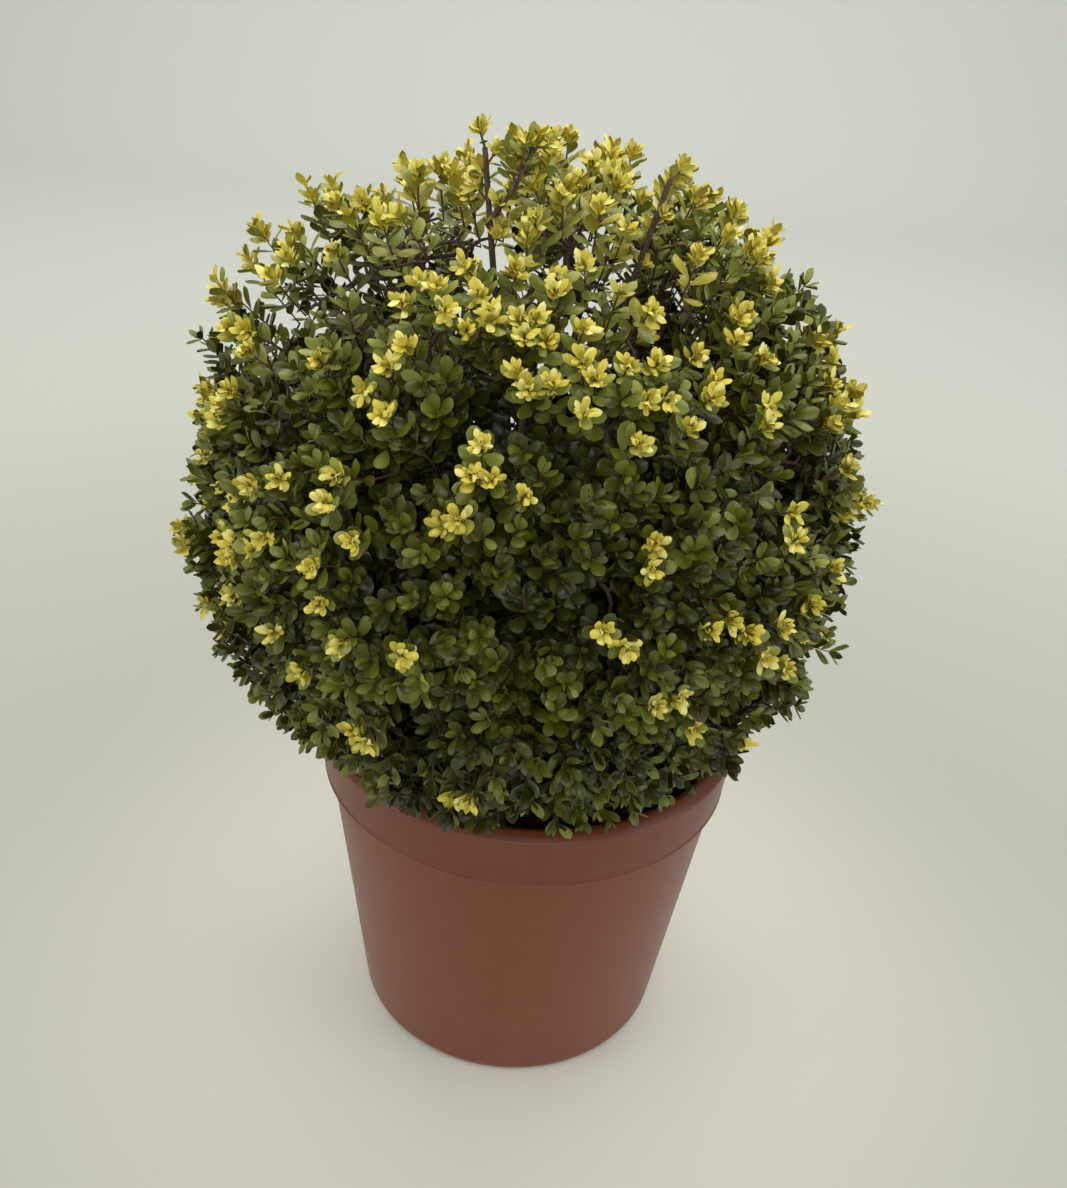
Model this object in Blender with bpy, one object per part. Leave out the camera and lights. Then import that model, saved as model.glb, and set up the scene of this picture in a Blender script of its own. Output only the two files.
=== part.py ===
"""A clipped ball of small-leaved Japanese holly in a round plastic nursery pot.

Run with: blender --background --factory-startup --python part.py
Metres, +Z up. The origin is the centre of the pot's underside, and the front of the plant faces -Y.
The pot holds the potting soil, the soil carries a short trunk, and the trunk's boughs carry the
masses of foliage, which lie side by side as the thick green shell of a hollow ball.
"""

import math
from functools import partial

import bmesh
import bpy
import numpy as np
from mathutils import Vector, noise
from mathutils.bvhtree import BVHTree

SEAT = 0.0003  # gap between pieces that touch, where a mesh can't share its neighbour's face

# Pot: a 28 cm round container with an overhanging collar and a rolled lip
POT_HEIGHT = 0.237
RIM_RADIUS = 0.140
COLLAR_HEIGHT = 0.042
COLLAR_FOOT_RADIUS = 0.1357
WALL_TOP_RADIUS = 0.1327
BASE_RADIUS = 0.107
WALL = 0.0025
LIP_WIDTH = 0.0105
LIP_DROP = 0.006
HEEL = 0.003  # bevel where the wall meets the standing ring
FOOT_RING = 0.008
CHANNEL_HEIGHT = 0.005  # the drainage channel between the standing ring and the centre pad
CENTRE_PAD_RADIUS = 0.060
POT_SIDES = 48

NOTCHES = 4
NOTCH_FIRST_DEG = -36.0  # azimuth of the first notch, from the front towards the right
NOTCH_WIDTH_DEG = 30.0
NOTCH_HEIGHT = 0.0042
NOTCH_STEPS = 5
CUT_MARGIN = 0.004  # how far a cutter reaches past what it cuts
DRAIN_HOLES = 8
DRAIN_RADIUS = 0.006
DRAIN_CIRCLE = 0.080
DRAIN_SIDES = 10

# Soil
SOIL_TOP = 0.213
SOIL_DISH = 0.004  # how far the soil falls from the trunk to the wall
SOIL_FLAT = 0.034  # radius of the flat patch the trunk stands on
SOIL_SIDES = 32

# Trunk
TRUNK_FOOT = Vector((0.003, 0.004, SOIL_TOP + SEAT))
TRUNK_TIP = Vector((-0.010, 0.002, 0.338))
TRUNK_BOW = Vector((0.004, -0.003, 0.0))  # how far its middle stands off the straight line
FLARE_RADIUS = 0.019
TRUNK_RADIUS = 0.0105
TRUNK_TIP_RADIUS = 0.0060
FLARE_HEIGHT = 0.016
TRUNK_RINGS = 9
TRUNK_SIDES = 12
TRUNK_RIDGES = 0.10  # how far the flare's three root ridges stand out, as a share of its radius

# Crown
CROWN_CENTRE = Vector((-0.0125, 0.0, 0.3915))
CROWN_RADIUS = 0.2085
CAVITY_RADIUS = 0.104  # the bare, shaded middle where only wood grows
CORE_RADIUS = 0.062  # the open throat round the trunk, below the cavity
FOLIAGE_FLOOR = POT_HEIGHT + 0.0035  # the clipped underside, just over the rim
MIDDLE_RADIUS = 0.157  # distance of each mass's middle from the crown's
MASS_GAP = 0.0006
MASS_ROUNDING = 0.0065  # how softly a mass's faces run into each other
LUMP_SIZE = 0.055
LUMP_HEIGHT = 0.0055
MASS_DETAIL = 3  # icosphere subdivisions
TUFT_DETAIL = 2
LEAF_SMOOTH_DEG = 60.0
TUFT_UNEVEN = 0.30  # share of a tuft's size
RAY_STEP = 0.002

# Rings of masses: name, elevation, count, azimuth of the first from the front towards the right
RINGS = (
    ("lower", -31.0, 6, -22.0),
    ("middle", 3.0, 6, 34.0),
    ("upper", 33.0, 5, 4.0),
)
# Top masses, lying side by side from front to back: name, tilt from upright towards the right of
# the mass's share of the ball, and tilts of its middle towards the right and towards the back
TOP_MASSES = (
    ("top_left", -20.0, -24.0, 0.0),
    ("top_middle", 4.0, 5.0, 4.0),
    ("top_right", 32.0, 34.0, 4.0),
)
TOP_FURROW = 0.0045  # half width of the open furrows between the top masses, at the cavity
TOP_FURROW_SPLAY = 0.03  # and how fast they widen outwards

# Where the ball stands out from a true sphere or falls short: azimuth, elevation, spread, height
UNEVEN = (
    (-85.0, 33.0, 9.0, 0.015),
    (-92.0, 49.0, 9.0, 0.006),
    (-62.0, -16.0, 11.0, 0.005),
    (108.0, 66.0, 8.0, 0.006),
    (97.0, 52.0, 8.0, 0.006),
    (66.0, -14.0, 9.0, 0.008),
    (56.0, -28.0, 10.0, 0.006),
    (-114.0, 72.0, 7.0, -0.007),
    (75.0, 0.0, 10.0, -0.006),
    (-75.0, 9.0, 10.0, -0.005),
    (165.0, 30.0, 12.0, 0.006),
    (-160.0, -12.0, 11.0, -0.005),
    (-128.0, 12.0, 10.0, 0.005),
)

# Bare stems that stand in the top furrows: name, what each leaves and how far along it, radius at
# the foot and the tip, the point that bends it, and the middle and half sizes of its tuft
STEMS = (
    ("stem_middle", "trunk", 0.86, 0.0034, 0.0018,
     (-0.028, -0.074, 0.478), (-0.0450, -0.052, 0.6095), (0.014, 0.013, 0.0095)),
    ("stem_right", "trunk", 1.00, 0.0034, 0.0018,
     (0.020, -0.060, 0.480), (0.0520, -0.056, 0.6030), (0.018, 0.014, 0.0100)),
    ("stem_fork", "stem_middle", 0.86, 0.0016, 0.0013,
     (-0.026, -0.072, 0.585), (-0.0170, -0.053, 0.6080), (0.011, 0.011, 0.0080)),
)

# How far out a stem's foot is looked for, on what it leaves
STEM_RUN_UP = {"trunk": 0.060, "stem_middle": 0.0064}

# Boughs: for each ring, where they leave the trunk (share of its height), steepness and thickness
BOUGH_RISE = {"lower": 0.24, "middle": 0.50, "upper": 0.68, "top": 0.80}
BOUGH_STAGGER = 0.05  # every second bough leaves this much higher
BOUGH_ANGLE = {"lower": 60.0, "middle": 40.0, "upper": 38.0, "top": 30.0}
BOUGH_RADIUS = {"lower": 0.0040, "middle": 0.0044, "upper": 0.0042, "top": 0.0036}
BOUGH_TIP_SHARE = 0.55
BOUGH_BEND = 0.42  # how far along its reach a bough keeps the way it left the trunk
BOUGH_SIDES = 6
BOUGH_RINGS = 6

SECTORS = ("front", "front_right", "right", "back_right", "back", "back_left", "left", "front_left")


def clear_scene():
    for obj in list(bpy.data.objects):
        bpy.data.objects.remove(obj, do_unlink=True)


def finish(name, colour, roughness):
    """A plain Principled material."""
    made = bpy.data.materials.new(name)
    made.use_nodes = True
    shader = made.node_tree.nodes["Principled BSDF"]
    shader.inputs["Base Color"].default_value = (*colour, 1.0)
    shader.inputs["Roughness"].default_value = roughness
    shader.inputs["Metallic"].default_value = 0.0
    return made


def add_object(name, shape, material, smooth_deg=None):
    """Puts a bmesh into the scene as one named object."""
    mesh = bpy.data.meshes.new(name)
    shape.to_mesh(mesh)
    shape.free()
    if smooth_deg is not None:
        mesh.shade_smooth()
        mesh.set_sharp_from_angle(angle=math.radians(smooth_deg))
    obj = bpy.data.objects.new(name, mesh)
    bpy.context.scene.collection.objects.link(obj)
    mesh.materials.append(material)
    return obj


def towards(azimuth_deg, elevation_deg=0.0):
    """Unit vector of a direction: azimuth from the front (-Y) towards the right (+X)."""
    azimuth, elevation = math.radians(azimuth_deg), math.radians(elevation_deg)
    flat = math.cos(elevation)
    return Vector((flat * math.sin(azimuth), -flat * math.cos(azimuth), math.sin(elevation)))


def sector(azimuth_deg):
    """The plain word for an azimuth."""
    step = 360.0 / len(SECTORS)
    return SECTORS[round(azimuth_deg / step) % len(SECTORS)]


# Turned pieces


def turned(name, profile, sides, material):
    """A solid of revolution. The profile runs from the axis over the inside and down the outside."""
    shape = bmesh.new()
    points = [shape.verts.new((radius, 0.0, z)) for radius, z in profile]
    for above, below in zip(points, points[1:]):
        shape.edges.new((above, below))
    obj = add_object(name, shape, material)
    screw = obj.modifiers.new("turn", "SCREW")
    screw.steps = screw.render_steps = sides
    screw.use_merge_vertices = True
    screw.merge_threshold = 0.0001
    return obj


def wall_radius(z):
    """Outer radius of the pot's straight wall at a height."""
    share = (z - HEEL) / (POT_HEIGHT - COLLAR_HEIGHT - HEEL)
    return BASE_RADIUS + (WALL_TOP_RADIUS - BASE_RADIUS) * share


def arc_block(shape, azimuth_deg, width_deg, inner, outer, low, high, steps):
    """Adds a curved block, part of a ring, to a bmesh."""
    columns = []
    for step in range(steps + 1):
        ray = towards(azimuth_deg + width_deg * (step / steps - 0.5))
        corners = ((inner, low), (outer, low), (outer, high), (inner, high))
        columns.append([shape.verts.new((ray.x * r, ray.y * r, z)) for r, z in corners])
    for here, there in zip(columns, columns[1:]):
        for side in range(4):
            after = (side + 1) % 4
            shape.faces.new((here[side], here[after], there[after], there[side]))
    shape.faces.new(columns[0][::-1])
    shape.faces.new(columns[-1])


def cut(obj, name, shape):
    """Takes a closed shape out of an object with a hidden cutter."""
    bmesh.ops.recalc_face_normals(shape, faces=shape.faces)
    cutter = add_object(name, shape, obj.data.materials[0])
    cutter.hide_render = True
    cutter.display_type = "WIRE"
    boolean = obj.modifiers.new(name, "BOOLEAN")
    boolean.operation = "DIFFERENCE"
    boolean.solver = "EXACT"
    boolean.object = cutter


def pot_profile():
    """The pot's section, from the middle of its floor up the inside, over the lip and down outside."""
    collar_foot = POT_HEIGHT - COLLAR_HEIGHT
    floor_top = CHANNEL_HEIGHT + WALL
    ring_inner = BASE_RADIUS - HEEL - FOOT_RING
    inside_floor = wall_radius(floor_top) - WALL
    lip_inner = RIM_RADIUS - LIP_WIDTH
    lip_crest = lip_inner + LIP_WIDTH * 0.36
    return (
        (0.0, WALL),
        (CENTRE_PAD_RADIUS - WALL, WALL),
        (CENTRE_PAD_RADIUS - WALL, floor_top),
        (inside_floor, floor_top),
        (WALL_TOP_RADIUS - WALL, collar_foot - WALL),
        (COLLAR_FOOT_RADIUS - WALL, collar_foot + WALL),
        (RIM_RADIUS - WALL - 0.003, POT_HEIGHT - 0.010),
        (lip_inner, POT_HEIGHT - 0.0035),
        (lip_inner + 0.0008, POT_HEIGHT - 0.0010),
        (lip_crest, POT_HEIGHT),
        (RIM_RADIUS - 0.0030, POT_HEIGHT - LIP_DROP * 0.42),
        (RIM_RADIUS - 0.0006, POT_HEIGHT - LIP_DROP * 0.80),
        (RIM_RADIUS, POT_HEIGHT - LIP_DROP),
        (COLLAR_FOOT_RADIUS, collar_foot + 0.0006),
        (COLLAR_FOOT_RADIUS - 0.0006, collar_foot),
        (WALL_TOP_RADIUS, collar_foot),
        (wall_radius(HEEL * 1.6), HEEL * 1.6),
        (BASE_RADIUS - HEEL * 0.25, HEEL * 0.45),
        (BASE_RADIUS - HEEL, 0.0),
        (ring_inner, 0.0),
        (ring_inner, CHANNEL_HEIGHT),
        (CENTRE_PAD_RADIUS, CHANNEL_HEIGHT),
        (CENTRE_PAD_RADIUS, 0.0),
        (0.0, 0.0),
    )


def make_pot(material):
    pot = turned("pot", pot_profile(), POT_SIDES, material)
    ring_inner = BASE_RADIUS - HEEL - FOOT_RING
    notches = bmesh.new()
    for index in range(NOTCHES):
        azimuth = NOTCH_FIRST_DEG + 360.0 * index / NOTCHES
        arc_block(
            notches, azimuth, NOTCH_WIDTH_DEG, ring_inner - CUT_MARGIN, BASE_RADIUS + CUT_MARGIN,
            -CUT_MARGIN, NOTCH_HEIGHT, NOTCH_STEPS,
        )
    cut(pot, "foot_notches", notches)
    holes = bmesh.new()
    for index in range(DRAIN_HOLES):
        ray = towards(360.0 * (index + 0.5) / DRAIN_HOLES) * DRAIN_CIRCLE
        rim = bmesh.ops.create_cone(
            holes, cap_ends=True, segments=DRAIN_SIDES,
            radius1=DRAIN_RADIUS, radius2=DRAIN_RADIUS, depth=4 * CHANNEL_HEIGHT,
        )
        bmesh.ops.translate(holes, verts=rim["verts"], vec=(ray.x, ray.y, CHANNEL_HEIGHT))
    cut(pot, "drain_holes", holes)
    pot.data.shade_smooth()
    pot.data.set_sharp_from_angle(angle=math.radians(35))


def make_soil(material):
    """The root ball and potting soil, filling the pot to just below its collar's middle."""
    floor_top = CHANNEL_HEIGHT + WALL + SEAT
    edge = SOIL_TOP - SOIL_DISH
    slack = WALL + 2 * SEAT
    profile = (
        (0.0, SOIL_TOP),
        (SOIL_FLAT, SOIL_TOP),
        (0.5 * (SOIL_FLAT + WALL_TOP_RADIUS), SOIL_TOP - 0.35 * SOIL_DISH),
        (COLLAR_FOOT_RADIUS - slack - 0.0015, edge),
        (WALL_TOP_RADIUS - slack - 0.0002, POT_HEIGHT - COLLAR_HEIGHT - 2 * WALL),
        (wall_radius(floor_top) - slack, floor_top),
        (CENTRE_PAD_RADIUS - WALL - SEAT, floor_top),
        (CENTRE_PAD_RADIUS - WALL - SEAT, WALL + SEAT),
        (0.0, WALL + SEAT),
    )
    turned("soil", profile, SOIL_SIDES, material)


# Wood


def tube(name, path, headings, radii, sides, material, ridges=0.0):
    """A limb of round section along a path, each ring square to its heading, with flat ends."""
    shape = bmesh.new()
    rings = []
    across = Vector((1.0, 0.0, 0.0))
    for point, heading, radius in zip(path, headings, radii):
        across = (across - heading * across.dot(heading)).normalized()
        beside = heading.cross(across)
        ring = []
        for side in range(sides):
            angle = 2 * math.pi * side / sides
            swell = radius * (1.0 + ridges * math.cos(3 * angle + 0.6) * (radius / radii[0]) ** 2)
            spot = point + across * (swell * math.cos(angle)) + beside * (swell * math.sin(angle))
            ring.append(shape.verts.new(spot))
        rings.append(ring)
    for low, high in zip(rings, rings[1:]):
        for side in range(sides):
            after = (side + 1) % sides
            shape.faces.new((low[side], low[after], high[after], high[side]))
    shape.faces.new(rings[0][::-1])
    shape.faces.new(rings[-1])
    surface = BVHTree.FromBMesh(shape)
    add_object(name, shape, material, smooth_deg=50)
    return surface


def trunk_point(share):
    """A point on the trunk's centreline, from its foot (0) to its tip (1)."""
    straight = TRUNK_FOOT.lerp(TRUNK_TIP, share)
    return straight + TRUNK_BOW * math.sin(math.pi * share)


def trunk_radius(share):
    """The trunk's radius, with the flare at its foot dying away upwards."""
    flare = (FLARE_RADIUS - TRUNK_RADIUS) * math.exp(
        -share * (TRUNK_TIP.z - TRUNK_FOOT.z) / (FLARE_HEIGHT * 0.45)
    )
    return TRUNK_RADIUS + (TRUNK_TIP_RADIUS - TRUNK_RADIUS) * share + flare


def make_trunk(material):
    shares = [(index / (TRUNK_RINGS - 1)) ** 1.5 for index in range(TRUNK_RINGS)]
    path = [trunk_point(share) for share in shares]
    path[1].xy = path[0].xy  # upright at the soil, so that the foot's cut is level
    headings = [(path[1] - path[0]).normalized()]
    for before, after in zip(path, path[2:]):
        headings.append((after - before).normalized())
    headings.append((path[-1] - path[-2]).normalized())
    radii = [trunk_radius(share) for share in shares]
    return tube("trunk", path, headings, radii, TRUNK_SIDES, material, TRUNK_RIDGES)


def make_bough(name, ring, middle, late, trunk, mass, material):
    """The limb from the trunk to one mass. It stops where it meets the mass's inner face."""
    leaves_at = BOUGH_RISE[ring] + BOUGH_STAGGER * late
    root = trunk_point(leaves_at)
    outwards = Vector((middle.x - root.x, middle.y - root.y, 0.0)).normalized()
    angle = math.radians(BOUGH_ANGLE[ring])
    leaving = outwards * math.sin(angle) + Vector((0.0, 0.0, math.cos(angle)))
    radius = BOUGH_RADIUS[ring]
    start = drawn_up(trunk, root + leaving * CORE_RADIUS, -leaving, radius)
    ahead = mass.ray_cast(start, leaving)[3] or math.inf
    control = start + leaving * min(BOUGH_BEND * (middle - start).length, 0.5 * ahead)
    tip_radius = radius * BOUGH_TIP_SHARE
    end = drawn_up(mass, control, (middle - control).normalized(), tip_radius)
    limb("bough_" + name, start, control, end, radius, tip_radius, material)


def on_curve(start, control, end, share):
    """A point on the curve from start to end that is pulled towards control, and its heading."""
    first, last = start.lerp(control, share), control.lerp(end, share)
    return first.lerp(last, share), (last - first).normalized()


def limb(name, start, control, end, radius, tip_radius, material):
    """A tapering limb along the curve from start to end that is pulled towards control."""
    path, headings, radii = [], [], []
    for index in range(BOUGH_RINGS):
        share = index / (BOUGH_RINGS - 1)
        point, heading = on_curve(start, control, end, share)
        path.append(point)
        headings.append(heading)
        radii.append(radius + (tip_radius - radius) * share)
    return tube(name, path, headings, radii, BOUGH_SIDES, material)


def drawn_up(surface, spot, heading, radius):
    """Moves a limb's end along its heading until the end stands SEAT short of a surface."""
    while True:
        left = nearest_to_disc(surface, spot, heading, radius) - SEAT
        if left < SEAT / 10:
            return spot
        spot = spot + heading * left


def nearest_to_disc(surface, centre, normal, radius):
    """Least distance from a surface to a limb's end face and the last of its side."""
    across = normal.orthogonal().normalized()
    beside = normal.cross(across)
    least = surface.find_nearest(centre)[3]
    for side in range(12):
        angle = 2 * math.pi * side / 12
        edge = centre + (across * math.cos(angle) + beside * math.sin(angle)) * radius
        for back in (0.0, 0.002, 0.005):
            least = min(least, surface.find_nearest(edge - normal * back)[3])
    return least


# Foliage


def leaning(right_deg, back_deg=0.0):
    """Unit vector tilted from upright towards the right and towards the back."""
    right, back = math.radians(right_deg), math.radians(back_deg)
    return Vector((math.tan(right), math.tan(back), 1.0)).normalized()


def crown_shares():
    """(name, ring, direction of the mass's share, middle, every second one) of each mass."""
    shares = []
    for ring, elevation, count, first in RINGS:
        for index in range(count):
            azimuth = first + 360.0 * index / count
            own = towards(azimuth, elevation)
            middle = CROWN_CENTRE + own * MIDDLE_RADIUS
            shares.append((f"{ring}_{sector(azimuth)}", ring, own, middle, index % 2))
    for index, (name, tilt, middle_right, middle_back) in enumerate(TOP_MASSES):
        middle = CROWN_CENTRE + leaning(middle_right, middle_back) * MIDDLE_RADIUS
        shares.append((name, "top", leaning(tilt), middle, index % 2))
    return shares


def outline(directions, phase):
    """How far the crown reaches from its middle, for an array of directions, in metres."""
    shift = Vector((phase * 3.7, phase * 1.9, phase * 2.3))
    scale = CROWN_RADIUS / LUMP_SIZE
    far = np.array([
        LUMP_HEIGHT * noise.noise(Vector(direction) * scale + shift) for direction in directions
    ])
    for azimuth, elevation, spread, height in UNEVEN:
        off = np.degrees(np.arccos(np.clip(directions @ np.array(towards(azimuth, elevation)), -1, 1)))
        far += height * np.exp(-0.5 * (off / spread) ** 2)
    return CROWN_RADIUS + far


def depth_inside(points, name, own, others, phase):
    """How deep each point lies inside a mass, in metres, and below 0 outside it."""
    spread = points - np.array(CROWN_CENTRE)
    radius = np.linalg.norm(spread, axis=1)
    off_trunk = np.linalg.norm((points - np.array(TRUNK_TIP))[:, :2], axis=1)
    depths = [
        outline(spread / radius[:, None], phase) - radius,
        radius - CAVITY_RADIUS,
        np.maximum(off_trunk - CORE_RADIUS, spread[:, 2]),
        points[:, 2] - FOLIAGE_FLOOR,
    ]
    furrow = TOP_FURROW + TOP_FURROW_SPLAY * (radius - CAVITY_RADIUS)
    for other_name, other in others:
        between = np.array((own - other).normalized())
        both_top = name.startswith("top") and other_name.startswith("top")
        depths.append(spread @ between - (furrow if both_top else MASS_GAP / 2))
    stacked = np.array(depths) / MASS_ROUNDING
    least = stacked.min(axis=0)
    return MASS_ROUNDING * (least - np.log(np.exp(least - stacked).sum(axis=0)))


def make_mass(name, own, middle, others, phase, material):
    """A mass of foliage: rays from its middle, each as long as the mass is deep that way."""
    shape = bmesh.new()
    bmesh.ops.create_icosphere(shape, subdivisions=MASS_DETAIL, radius=1.0)
    rays = np.array([vert.co.normalized() for vert in shape.verts])
    middle = np.array(middle)

    def inside(lengths):
        return depth_inside(middle + rays * lengths[:, None], name, own, others, phase) > 0.0

    lengths = np.full(len(rays), RAY_STEP)
    growing = inside(lengths)
    while growing.any():
        lengths[growing] += RAY_STEP
        growing &= inside(lengths)
    low, high = lengths - RAY_STEP, lengths
    for _ in range(12):
        half = (low + high) / 2
        within = inside(half)
        low, high = np.where(within, half, low), np.where(within, high, half)
    for vert, ray, length in zip(shape.verts, rays, low):
        vert.co = Vector(middle + ray * length)
    surface = BVHTree.FromBMesh(shape)
    add_object("foliage_" + name, shape, material, smooth_deg=LEAF_SMOOTH_DEG)
    return surface


def make_tuft(name, middle, half_sizes, phase, material):
    """A small uneven tuft of leaves at the end of a bare stem."""
    shape = bmesh.new()
    bmesh.ops.create_icosphere(shape, subdivisions=TUFT_DETAIL, radius=1.0)
    for vert in shape.verts:
        swell = 1.0 + TUFT_UNEVEN * noise.noise(vert.co * 1.7 + Vector((phase * 5.1, 0.0, 0.0)))
        vert.co = Vector(middle) + Vector(a * b for a, b in zip(vert.co * swell, half_sizes))
    surface = BVHTree.FromBMesh(shape)
    tuft = "foliage_tuft_" + name.removeprefix("stem_")
    add_object(tuft, shape, material, smooth_deg=LEAF_SMOOTH_DEG)
    return surface


def make_stems(trunk, bark, leaves):
    """The bare stems of the top, each from the trunk's or another stem's side up to its tuft."""
    grown = {"trunk": (trunk, trunk_point)}
    for phase, stem in enumerate(STEMS):
        name, parent, rise, radius, tip_radius, bend, middle, half_sizes = stem
        surface, point_along = grown[parent]
        tuft = make_tuft(name, middle, half_sizes, phase, leaves)
        root, bend, middle = point_along(rise), Vector(bend), Vector(middle)
        leaving = (bend - root).normalized()
        start = drawn_up(surface, root + leaving * STEM_RUN_UP[parent], -leaving, radius)
        end = drawn_up(tuft, bend, (middle - bend).normalized(), tip_radius)
        own_surface = limb(name, start, bend, end, radius, tip_radius, bark)
        own_curve = partial(on_curve, start, bend, end)
        grown[name] = (own_surface, lambda share, curve=own_curve: curve(share)[0])


def main():
    clear_scene()
    plastic = finish("pot_plastic", (0.235, 0.085, 0.048), 0.42)
    peat = finish("potting_soil", (0.030, 0.020, 0.014), 0.95)
    bark = finish("holly_bark", (0.085, 0.062, 0.045), 0.85)
    leaves = finish("holly_foliage", (0.100, 0.130, 0.028), 0.50)
    make_pot(plastic)
    make_soil(peat)
    trunk = make_trunk(bark)
    shares = crown_shares()
    for phase, (name, ring, own, middle, late) in enumerate(shares):
        others = [(share[0], share[2]) for share in shares if share[0] != name]
        mass = make_mass(name, own, middle, others, phase, leaves)
        make_bough(name, ring, middle, late, trunk, mass, bark)
    make_stems(trunk, bark, leaves)


main()
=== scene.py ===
"""The looks of a potted Japanese holly ball: gold-tipped foliage on real twigs, bark, soil and pot.

Boughs are read back from the frame. Twigs grow on from their ends towards the feet of the leafy
shoots by space colonisation, each shoot sets its leaves round itself, and Geometry Nodes turn the
twigs and leaves into meshes, one piece for each kind of wood and each leaf colour.
"""

import math
from collections import namedtuple

import bmesh
import bpy
import numpy as np
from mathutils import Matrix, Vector, noise
from mathutils.bvhtree import BVHTree


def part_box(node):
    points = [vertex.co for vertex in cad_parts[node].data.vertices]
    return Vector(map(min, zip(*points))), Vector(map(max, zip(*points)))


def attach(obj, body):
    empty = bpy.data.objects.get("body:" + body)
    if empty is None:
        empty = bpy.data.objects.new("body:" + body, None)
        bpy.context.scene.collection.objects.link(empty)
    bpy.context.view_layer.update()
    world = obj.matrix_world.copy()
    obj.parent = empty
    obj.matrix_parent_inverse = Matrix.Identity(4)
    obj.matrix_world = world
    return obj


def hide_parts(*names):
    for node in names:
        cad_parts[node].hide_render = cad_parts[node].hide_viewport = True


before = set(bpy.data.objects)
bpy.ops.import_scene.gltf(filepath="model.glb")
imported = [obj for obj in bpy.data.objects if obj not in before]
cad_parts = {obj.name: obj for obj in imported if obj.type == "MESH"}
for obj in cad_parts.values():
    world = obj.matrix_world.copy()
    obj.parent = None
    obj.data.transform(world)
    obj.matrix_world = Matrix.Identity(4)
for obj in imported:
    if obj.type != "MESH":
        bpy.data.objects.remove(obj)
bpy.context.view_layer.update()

SEED = 28
RNG = np.random.default_rng(SEED)

# Camera
CAMERA_PLACE = Vector((0.0, -0.699, 0.712))
CAMERA_TARGET = Vector((0.0, 0.0, 0.25))
CAMERA_YAW = -0.0034
CAMERA_PITCH = 0.0722
CAMERA_ROLL_DEG = 4.6
CAMERA_FOCAL_PX = 1250.0
IMAGE_HEIGHT = 1188
SENSOR_MM = 36.0
FARTHEST_SEEN = 100.0

# Stage
FLOOR_HALF_WIDTH = 16.0
BACKDROP_START = 2.6
BACKDROP_BEND = 0.9
BACKDROP_HEIGHT = 7.0
BEND_STEPS = 12
FLOOR_REACH = 3.0  # distance from the pot's axis at which the floor's tones end
# Painted light and shade on the floor by distance: painted light round the foot of the pot against the
# ball's shadow, painted shade where the lamps light it most
FLOOR_PAINTED_LIGHT = (
    (0.04, (244, 244, 232)), (0.12, (181, 181, 172)), (0.20, (177, 177, 168)), (0.42, (201, 202, 194)),
    (0.85, (216, 219, 211)),
)
SKY_COLOUR = (1.0, 1.0, 0.98, 1.0)
SKY_STRENGTH = 0.50
# Lamps: name, place, what each one is aimed at, size, power and colour
LAMPS = (
    ("top_softbox", (0.0, 0.25, 2.3), (0, 0, 0.3), (2.6, 2.2), 38.0, (1.0, 0.99, 0.95)),
    ("left_softbox", (-1.7, -0.8, 0.7), (0, 0, 0.2), (0.9, 1.2), 5.0, (1.0, 1.0, 1.0)),
    ("right_softbox", (1.7, -0.7, 0.7), (0, 0, 0.2), (0.9, 1.2), 5.0, (1.0, 1.0, 1.0)),
    ("front_fill", (0.0, -2.4, 1.3), (0, -0.3, 0.0), (2.0, 0.8), 12.0, (1.0, 1.0, 1.0)),
    ("backdrop_light", (0.0, 1.5, 2.6), (0, 3.5, 0.5), (3.0, 1.0), 22.0, (1.0, 1.0, 0.99)),
)

# Pot
POT_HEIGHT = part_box("pot")[1].z
RIM_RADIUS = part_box("pot")[1].x
COLLAR_HEIGHT = 0.042
COLLAR_FOOT = POT_HEIGHT - COLLAR_HEIGHT
# Height over which the painted shade on the collar fades in
COLLAR_SHADE_BLEND = 0.004
COLLAR_FOOT_RADIUS = 0.1357
WALL_TOP_RADIUS = 0.1327
BASE_RADIUS = 0.107
WALL = 0.0025
POT_SIDES = 180
ROUNDING_STEPS = 4
ROUNDING_SHARE = 0.48  # share of an edge that the rounding of one corner may take
SHARP_DEG = 40
NOTCHES = 4
NOTCH_STEPS = 8
FIRST_NOTCH_DEG = -126.0
NOTCH_WIDTH_DEG = 30.0
NOTCH_SECTION = ((0.092, -0.002), (0.112, -0.002), (0.112, 0.0042), (0.092, 0.0042))
DRAIN_HOLES = 8
DRAIN_SIDES = 24
DRAIN_RADIUS = 0.006
DRAIN_CIRCLE = 0.080
DRAIN_HEIGHTS = (0.003, 0.012)

# Soil
SOIL_RINGS = 48
SOIL_SIDES = 150
SOIL_EDGE_RADIUS = COLLAR_FOOT_RADIUS - WALL - 0.0007
SOIL_WALL_RADIUS = WALL_TOP_RADIUS - WALL - 0.0008
SOIL_FOOT_RADIUS = BASE_RADIUS - 0.004
SOIL_FOOT = 0.009
SOIL_DISH = 0.004
SOIL_CRUMBS = 0.0035
CRUMB_SCALE = 85.0
CRUMB_NOISE = (0.9, 2.1, 3)  # roughness, step between octaves and their number
CRUMB_LEVEL = 0.2
CRUMB_START, CRUMB_FULL = 0.02, 0.05  # the soil is smooth round the trunk

# Limbs: sides of the rings in the frame, then sides, rings and relief of the mesh with bark
Limb = namedtuple("Limb", "frame_sides sides rings relief")
BOUGH = Limb(6, 10, 26, 0.16)
STEM = Limb(6, 8, 30, 0.14)
TRUNK = Limb(12, 28, 60, 0.12)
LIMB_ACROSS = (0.3, 1.0, 0.2)
BARK_LUMPS = (90.0, 2.6, 0.6)  # how close along the limb and round it, and how strong
BARK_RIDGES = (0.10, 3.4, 0.8)
LIMB_TIP = 0.4  # height of the cone on a limb's tip, against its radius
STEM_THINNING = 0.8

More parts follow.
